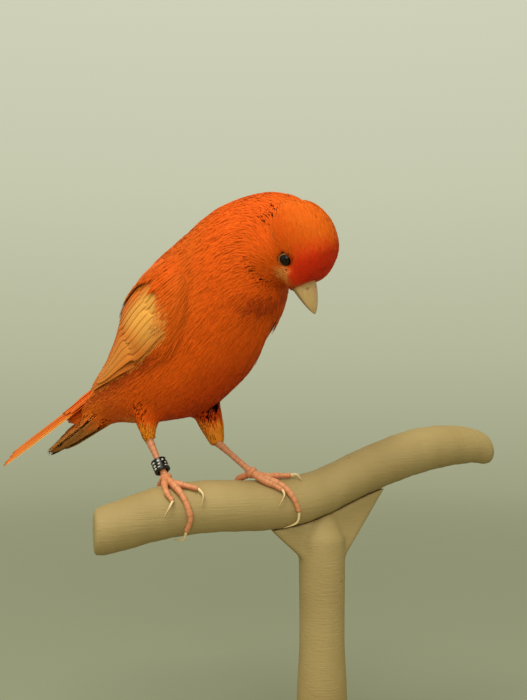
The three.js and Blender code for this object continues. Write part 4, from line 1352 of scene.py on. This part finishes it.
def build_ring(start, foot, down):
    matrix = facing_matrix(lerp(start, foot, RING_PLACE), down, ROW)
    edge, turn_steps = 0.22, np.linspace(0, math.pi / 2, 6)
    profile = []
    corners = ((RING_OUTER, -RING_HALF, 1, -1), (RING_OUTER, RING_HALF, 1, 1),
               (RING_INNER, RING_HALF, -1, 1), (RING_INNER, -RING_HALF, -1, -1))
    for index, (r, z, out, up) in enumerate(corners):
        arc = turn_steps if index % 2 else turn_steps[::-1]
        for a in arc:
            profile.append((r - out * edge * (1 - math.cos(a)), z - up * edge * (1 - math.sin(a))))
    ring = lathe("ring_band", profile, matrix, sides=96)
    finish_piece(ring, "ring", "ring", "leg_ring")
    parts = []
    for row, count in ((-0.8, 9), (0.15, 7), (0.95, 9)):
        for k in range(count):
            middle = 2 * math.pi * k / count + rng.uniform(-0.15, 0.15)
            span = rng.uniform(0.06, 0.2)
            a = np.linspace(middle - span, middle + span, 6)
            high = rng.uniform(0.08, 0.26)
            rows = [(RING_OUTER + 0.03, row - high), (RING_OUTER + 0.03, row + high)]
            deep = [(RING_OUTER - 0.1, row - high), (RING_OUTER - 0.1, row + high)]
            top, under = ([[(r * math.cos(b), r * math.sin(b), z) for b in a] for r, z in band]
                          for band in (rows, deep))
            points, faces = sheet(np.array(top).reshape(-1, 3), np.array(under).reshape(-1, 3), 2, 6)
            parts.append((points, faces, np.tile(linear((196, 192, 180)), (len(points), 1))))
    marks = join_parts("ring_marks", parts, matrix)
    finish_piece(face_out(marks), "mark", "ring")


# Perch, post and base

def build_bar():
    steps, sides = 260, 96
    rows = between(BAR_STATIONS, np.linspace(0, 1, steps + 1))
    a = np.linspace(0, 2 * math.pi, sides, endpoint=False)
    wave = 0.05 * np.sin(rows[:, :1] * 0.9 + 2 * np.sin(a)) + 0.03 * np.sin(rows[:, :1] * 2.3 + 5 * a)
    radius = rows[:, 2:3] + wave
    x = np.repeat(rows[:, :1], sides, axis=1)
    verts = np.stack([x, radius * np.sin(a), rows[:, 1:2] + radius * np.cos(a)], axis=-1)
    obj = fast_mesh("perch_surface", verts.reshape(-1, 3) * MM, grid_quads(steps + 1, sides))
    finish_piece(face_out(obj, close=True), "perch", "perch", "perch_bar")


def build_post():
    co, faces = swollen_copy("stand_post", 0.0)
    mesh = remeshed("post_surface", co, faces, 0.5 * MM)
    set_coords(mesh, relax(coords(mesh), mesh_edges(mesh), 14))
    mesh.shade_smooth()
    finish_piece(link("post_surface", mesh), "perch", "perch", "stand_post")


BASE_PROFILE = ((0.5, 0.0), (44.6, 0.0), (45.0, 0.3), (45.0, 4.6), (44.8, 5.3), (44.3, 5.8), (43.6, 6.0),
                (9.4, 6.0), (0.5, 6.0))


def build_base():
    obj = lathe("base_surface", BASE_PROFILE, ROW, sides=160, closed=False)
    for face in obj.data.polygons:
        face.use_smooth = abs(face.normal.z) < 0.999
    finish_piece(obj, "perch", "perch", "stand_base")


# The stage: floor, background and lights

FLOOR_COLOUR = (140, 143, 122)
# Height over the horizon, and the background's colour there
BACKGROUND = ((-0.45, (142, 144, 112)), (-0.2, (152, 156, 124)), (0.0, (181, 184, 155)),
              (0.2, (198, 201, 174)), (0.42, (208, 210, 186)))
LIGHTS = (
    ("key", (-0.35, -0.30, 0.95), 0.5, 5.8, (1.0, 0.96, 0.88)),
    ("fill", (-0.25, -0.9, 0.5), 0.7, 4.2, (1.0, 0.98, 0.94)),
)


def build_floor():
    steps = np.concatenate([np.linspace(0.02, 0.6, 24), np.linspace(0.7, 1.8, 16)])
    a = np.linspace(0, 2 * math.pi, 96, endpoint=False)
    flat = np.zeros((len(steps), 96))
    ring = np.stack([np.outer(steps, np.cos(a)), np.outer(steps, np.sin(a)), flat], axis=-1)
    floor = fast_mesh("floor", ring.reshape(-1, 3), grid_quads(len(steps), 96))
    bm = bmesh.new()
    bm.from_mesh(floor.data)
    inner = [e for e in bm.edges if e.is_boundary and e.verts[0].co.length < 0.1]
    bmesh.ops.holes_fill(bm, edges=inner)
    bmesh.ops.recalc_face_normals(bm, faces=bm.faces)
    bm.to_mesh(floor.data)
    bm.free()
    m = Nodes("floor")
    m.set(Base_Color=(*linear(FLOOR_COLOUR), 1), Roughness=0.9, Specular_IOR_Level=0.1)
    spot = m.add("ShaderNodeTexCoord").outputs["Object"]
    away = m.add("ShaderNodeVectorMath", {0: spot}, operation="LENGTH").outputs["Value"]
    fade = m.add("ShaderNodeMapRange", {0: away, 1: 0.12, 2: 0.6}, interpolation_type="SMOOTHSTEP")
    clear = m.add("ShaderNodeBsdfTransparent")
    both = m.add("ShaderNodeMixShader", {0: fade.outputs[0]})
    m.tree.links.new(m.shader.outputs[0], both.inputs[1])
    m.tree.links.new(clear.outputs[0], both.inputs[2])
    m.tree.links.new(both.outputs[0], m.tree.nodes["Material Output"].inputs[0])
    floor.data.materials.append(m.material)


def build_stage():
    build_floor()
    sky = bpy.data.worlds.new("studio")
    bpy.context.scene.world = sky
    sky.use_nodes = True
    tree = sky.node_tree
    back = tree.nodes["Background"]
    place = tree.nodes.new("ShaderNodeTexCoord")
    split = tree.nodes.new("ShaderNodeSeparateXYZ")
    span = tree.nodes.new("ShaderNodeMapRange")
    ramp = tree.nodes.new("ShaderNodeValToRGB")
    low, high = BACKGROUND[0][0], BACKGROUND[-1][0]
    span.inputs[1].default_value = low
    span.inputs[2].default_value = high
    tree.links.new(place.outputs["Generated"], split.inputs[0])
    tree.links.new(split.outputs[2], span.inputs[0])
    tree.links.new(span.outputs[0], ramp.inputs[0])
    band = ramp.color_ramp
    while len(band.elements) < len(BACKGROUND):
        band.elements.new(0.5)
    for element, (height, colour) in zip(band.elements, BACKGROUND):
        element.position = (height - low) / (high - low)
        element.color = (*linear(colour), 1)
    tree.links.new(ramp.outputs[0], back.inputs[0])
    back.inputs[1].default_value = 1.0
    for name, place, size, power, colour in LIGHTS:
        data = bpy.data.lights.new(name, "AREA")
        data.shape = "DISK"
        data.size = size
        data.energy = power
        data.color = colour
        lamp = bpy.data.objects.new(name, data)
        lamp.location = place
        aim = Vector((-0.03, 0, 0.13)) - Vector(place)
        lamp.rotation_euler = aim.to_track_quat("-Z", "Y").to_euler()
        bpy.context.scene.collection.objects.link(lamp)


def build_camera():
    data = bpy.data.cameras.new("camera")
    data.sensor_width = SENSOR
    data.sensor_height = SENSOR
    data.sensor_fit = "VERTICAL"
    data.lens = CAMERA_LENS
    camera = bpy.data.objects.new("camera", data)
    camera.location = Vector(CAMERA_PLACE) * MM
    camera.rotation_euler = (math.radians(90), 0, math.radians(CAMERA_YAW))
    bpy.context.scene.collection.objects.link(camera)
    bpy.context.scene.camera = camera


bpy.context.scene.view_settings.view_transform = "Standard"
build_camera()
materials = {
    "plumage": feather_material("plumage", 0.75, 0.12, 0.15),
    "vane": feather_material("vane", 0.65, 0.18, 0.2),
    "perch": perch_material(),
    "leg": leg_material(),
    "bill": bill_material(),
    "claw": feather_material("claw_horn", 0.35, 0.5),
    "mark": feather_material("ring_mark", 0.5, 0.3),
    "eye": plain_material("eye_gloss", (12, 7, 4), 0.06, Specular_IOR_Level=0.3),
    "lid": plain_material("eyelid_skin", (158, 106, 64), 0.6),
    "ring": plain_material("ring_black", (20, 22, 20), 0.25, Metallic=0.3),
}

wing_map = WingMap()
skin = build_skin()
paint(skin.data, marking(coords(skin.data)))
finish_piece(skin, "plumage", "plumage", "torso", "neck", "head", "thigh_right", "thigh_left")
build_coat(Surface(skin.data))
for side in (-1, 1):
    build_wing(side)
    build_eye(side)
build_fans("tail_feathers", "wing", "tail", TAIL_FANS)
build_fans("undertail_feathers", "plumage", "undertail_coverts", UNDER_FANS)
bill_half("bill_top", 1, "bill_upper")
bill_half("bill_under", -1, "bill_lower")
build_ring(*build_leg("right"))
build_leg("left")
build_bar()
build_post()
build_base()
build_stage()
